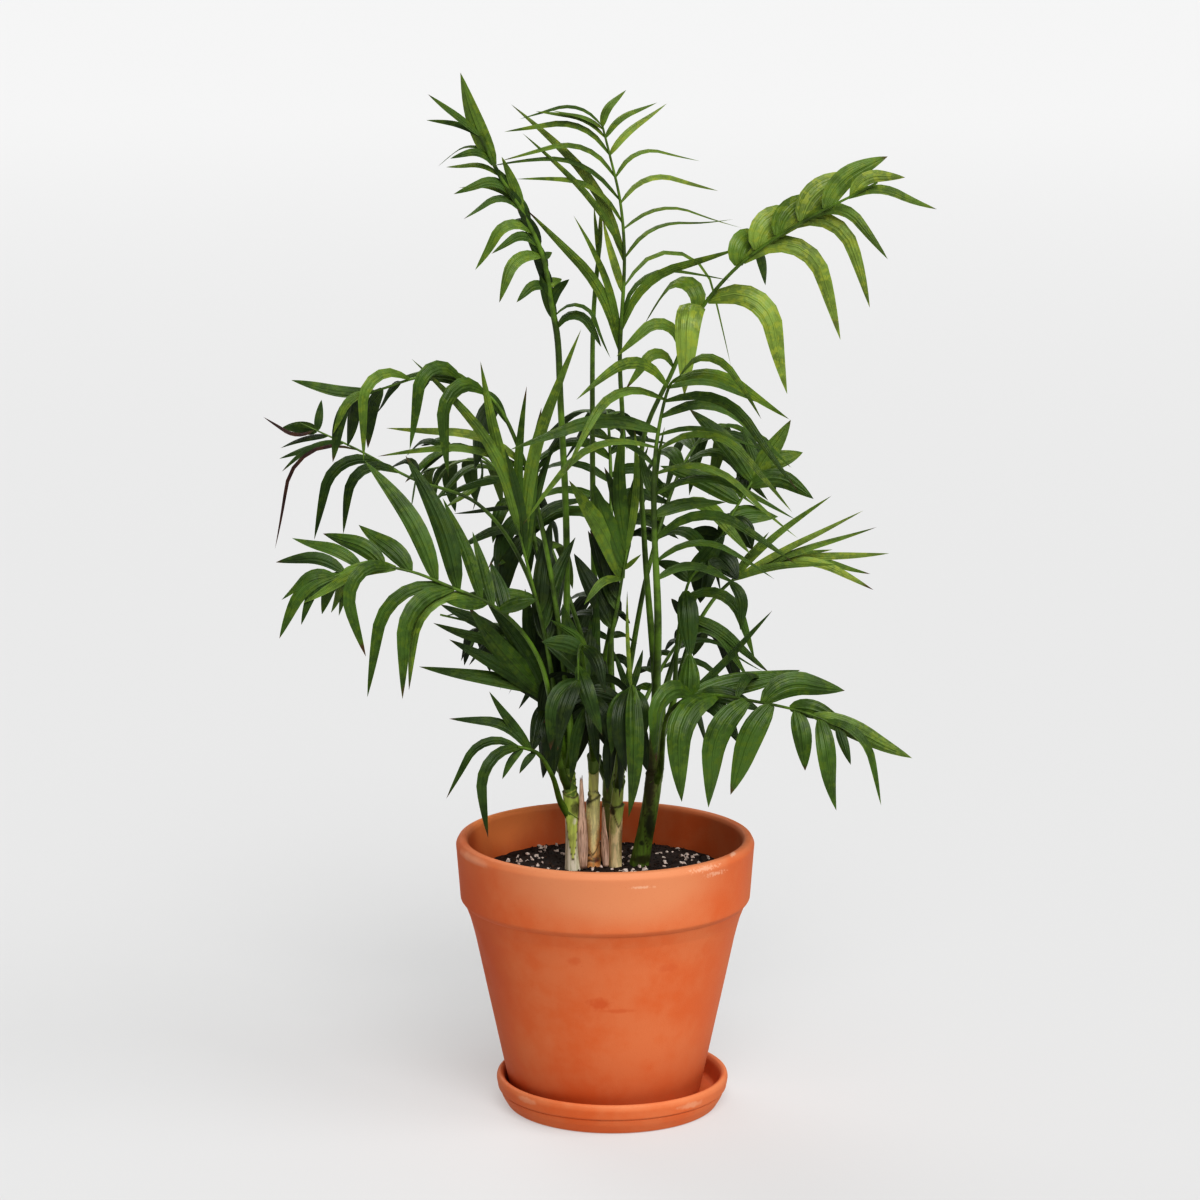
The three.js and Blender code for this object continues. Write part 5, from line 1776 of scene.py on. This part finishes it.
def make_green_sheaths(fronds, material):
    """The sheath at the foot of each side frond clasps its cane and is slit opposite the petiole."""
    sides, rings = 20, 10
    points, faces, painted = [], [], []
    for frond in fronds.values():
        cane_name, height, *azimuth = frond["grows"]
        if not azimuth:
            continue
        cane = CANES[cane_name]
        span = cane["tip"][2] - CANE_FOOT / MM
        base = len(points)
        for ring in range(rings):
            share = ring / (rings - 1)
            for side in range(sides):
                angle = side * math.tau / sides
                near = 0.5 + 0.5 * math.cos(angle - math.radians(azimuth[0]))
                level = lerp(height - 9 * near, height + 1 + 7 * near**2, share)
                place = clamped((level - CANE_FOOT / MM) / span)
                centre = cane_centre(cane, place)
                _, above, high = cane["radii"]
                radius = lerp(above, high, place) - 0.6 + 0.6 * share + 1.0 * share**3 * near
                centre[2] = level * MM
                points.append(centre + radius * MM * around(angle))
                painted.append((0.3 + 0.5 * share, 0.3 * bell(share, 1.0, 0.05), 1.0))
        sheath_faces = tube_faces(sides, rings, capped=False)
        faces += [tuple(base + corner for corner in face) for face in sheath_faces]
    piece = mesh_object("green_sheaths", points, faces, material)
    paint(piece.data, "paint", painted)
    thicken(piece, SHEATH_WALL, -1)
    finish_piece(piece, "cane")


def make_fronds(settings, stems):
    """Every frond: its stalk, and its leaflets dealt out among the tones."""
    fronds = {name: {**FROND, **given} for name, given in FRONDS.items()}
    dealt = {tone: [] for tone in SLOT_OF_TONE}
    for index, frond in enumerate(fronds.values()):
        seed = FIRST_SEED + SEED_STEP * index
        random = random_from(seed + TONE_SEED)
        tones = DEALING[frond["leaf"]]
        for leaf in leaflets(frond, seed):
            dealt[leaf["tone"] or tones[int(random() * len(tones))]].append(leaf)
    tree = make_leaf_tree()
    for tone, leaves in dealt.items():
        mesh = bpy.data.meshes.new("leaf_points_" + tone)
        mesh.from_pydata(plain(leaf["start"] for leaf in leaves), [], [])
        for key in ("start", "ahead", "down", "normal", "size", "stray"):
            paint(mesh, key, [leaf[key] for leaf in leaves])
        values = {
            "Columns": settings.columns,
            "Rows": settings.rows,
            "Stiff": LEAF_STIFF,
            "Bent": LEAF_BENT,
            "Fold": settings.fold,
            "Pleat": settings.pleat,
            "Material": leaf_material(tone, getattr(settings, tone), stems.petiole),
        }
        nodes = [name for name, frond in fronds.items() if frond["leaf"] == tone]
        finish_piece(grown("leaves_" + tone, mesh, tree, values), SLOT_OF_TONE[tone], *nodes)
    make_stalks(fronds, petiole_material(stems))
    sheath_colours = (stems.sheath, stems.sheath, stems.sheath, stems.petiole)
    make_green_sheaths(fronds, stem_material("green_sheath", sheath_colours, shaded(stems.sheath, 0.6)))


# ---- stage ----

FLOOR_REACH = 60.0
FLOOR_DROP = 0.0004  # keeps the floor just clear of the saucer's underside
FRAME_WIDTH = 36  # of the camera's picture, in millimetres


def make_sun(name, strength, spread, place):
    """A light so far off that it falls evenly on the whole floor."""
    light = bpy.data.lights.new(name, "SUN")
    light.energy = strength
    light.angle = spread
    lamp = link(bpy.data.objects.new(name, light))
    lamp.location = place
    lamp.rotation_euler = (-Vector(place)).to_track_quat("-Z", "Y").to_euler()


def make_camera(settings):
    camera = bpy.data.cameras.new("camera")
    camera.lens = settings.lens
    camera.sensor_width = FRAME_WIDTH
    camera.clip_end = 200
    holder = link(bpy.data.objects.new("camera", camera))
    holder.location = (0.0, -settings.distance, settings.height)
    holder.rotation_euler = (math.radians(90 - settings.pitch), 0.0, -math.radians(settings.yaw))
    bpy.context.scene.camera = holder


def make_floor(settings):
    """A pale floor that gives off a little light itself, so that shadows on it stay faint. Its colour grows
    lighter further back, as painted light.
    """
    material, shader, place = new_material("floor_pale")
    # Painted light: the floor is lighter further back.
    distance = step_up(split(place)[1], 0.5, 14.0)
    feed(shader["Base Color"], mixed(distance, settings.floor, shaded(settings.floor, 1.2)))
    shader["Roughness"].default_value = 1.0
    shader["Specular IOR Level"].default_value = 0.0
    shader["Emission Color"].default_value = (1.0, 1.0, 1.0, 1.0)
    shader["Emission Strength"].default_value = settings.glow
    square = ((-1, -1), (1, -1), (1, 1), (-1, 1))
    corners = [(x * FLOOR_REACH, y * FLOOR_REACH, -FLOOR_DROP) for x, y in square]
    mesh_object("floor", corners, [(0, 1, 2, 3)], material, smooth=False)


def make_stage(settings):
    """The floor, soft suns in front, on the right and behind, an even sky, and the camera."""
    make_camera(settings)
    make_floor(settings)
    make_sun("key", settings.key, settings.softness, (0.4, -1.9, 1.9))
    make_sun("side", settings.side, settings.softness, (2.3, -0.9, 1.9))
    make_sun("back", settings.back, settings.softness, (-1.2, 2.2, 1.8))
    world = bpy.data.worlds.new("sky")
    world.use_nodes = True
    background = world.node_tree.nodes["Background"].inputs
    background["Color"].default_value = (1.0, 1.0, 1.0, 1.0)
    background["Strength"].default_value = settings.sky
    scene = bpy.context.scene
    scene.world = world
    scene.view_settings.view_transform = "Standard"
    scene.view_settings.look = "High Contrast"


# ---- the add-on's settings, operators and panel ----

SETTINGS = {
    "palm_clay": PalmClay,
    "palm_soil": PalmSoil,
    "palm_stems": PalmStems,
    "palm_leaves": PalmLeaves,
    "palm_stage": PalmStage,
}


class PALM_OT_stage(bpy.types.Operator):
    """Makes the floor, the lights and the camera"""

    bl_idname = "palm.stage"
    bl_label = "Stage"

    def execute(self, context):
        make_stage(context.scene.palm_stage)
        return {"FINISHED"}


class PALM_OT_clay(bpy.types.Operator):
    """Turns the pot and its saucer"""

    bl_idname = "palm.clay"
    bl_label = "Pot and saucer"

    def execute(self, context):
        make_pot(context.scene.palm_clay)
        make_saucer(context.scene.palm_clay)
        return {"FINISHED"}


class PALM_OT_soil(bpy.types.Operator):
    """Fills the pot with potting mix, crumbs and white bits"""

    bl_idname = "palm.soil"
    bl_label = "Soil"

    def execute(self, context):
        make_soil(context.scene.palm_soil)
        return {"FINISHED"}


class PALM_OT_canes(bpy.types.Operator):
    """Grows the canes and the dry sheaths beside them"""

    bl_idname = "palm.canes"
    bl_label = "Canes"

    def execute(self, context):
        settings = context.scene.palm_stems
        for name, cane in CANES.items():
            make_cane(name, cane, settings)
        material = papery_material(settings)
        for name, sheath in DRY_SHEATHS.items():
            make_dry_sheath(name, sheath, material)
        return {"FINISHED"}


class PALM_OT_fronds(bpy.types.Operator):
    """Grows the petioles, ribs, green sheaths and leaflets"""

    bl_idname = "palm.fronds"
    bl_label = "Fronds"

    def execute(self, context):
        make_fronds(context.scene.palm_leaves, context.scene.palm_stems)
        return {"FINISHED"}


OPERATORS = (PALM_OT_stage, PALM_OT_clay, PALM_OT_soil, PALM_OT_canes, PALM_OT_fronds)


class PALM_PT_panel(bpy.types.Panel):
    """The palm's sizes and colours, and a button for each piece"""

    bl_idname = "PALM_PT_panel"
    bl_label = "Potted parlour palm"
    bl_space_type = "VIEW_3D"
    bl_region_type = "UI"
    bl_category = "Palm"

    def draw(self, context):
        for operator in OPERATORS:
            self.layout.operator(operator.bl_idname)
        for name, group in SETTINGS.items():
            box = self.layout.box()
            box.label(text=group.__doc__)
            for setting in group.__annotations__:
                box.prop(getattr(context.scene, name), setting)


CLASSES = (*SETTINGS.values(), *OPERATORS, PALM_PT_panel)


def register():
    for cls in CLASSES:
        bpy.utils.register_class(cls)
    for name, group in SETTINGS.items():
        setattr(bpy.types.Scene, name, PointerProperty(type=group))


def unregister():
    for name in SETTINGS:
        delattr(bpy.types.Scene, name)
    for cls in reversed(CLASSES):
        bpy.utils.unregister_class(cls)


def main():
    """Builds everything in order."""
    register()
    bpy.ops.palm.stage()
    bpy.ops.palm.clay()
    bpy.ops.palm.soil()
    bpy.ops.palm.canes()
    bpy.ops.palm.fronds()


if __name__ == "__main__":
    main()
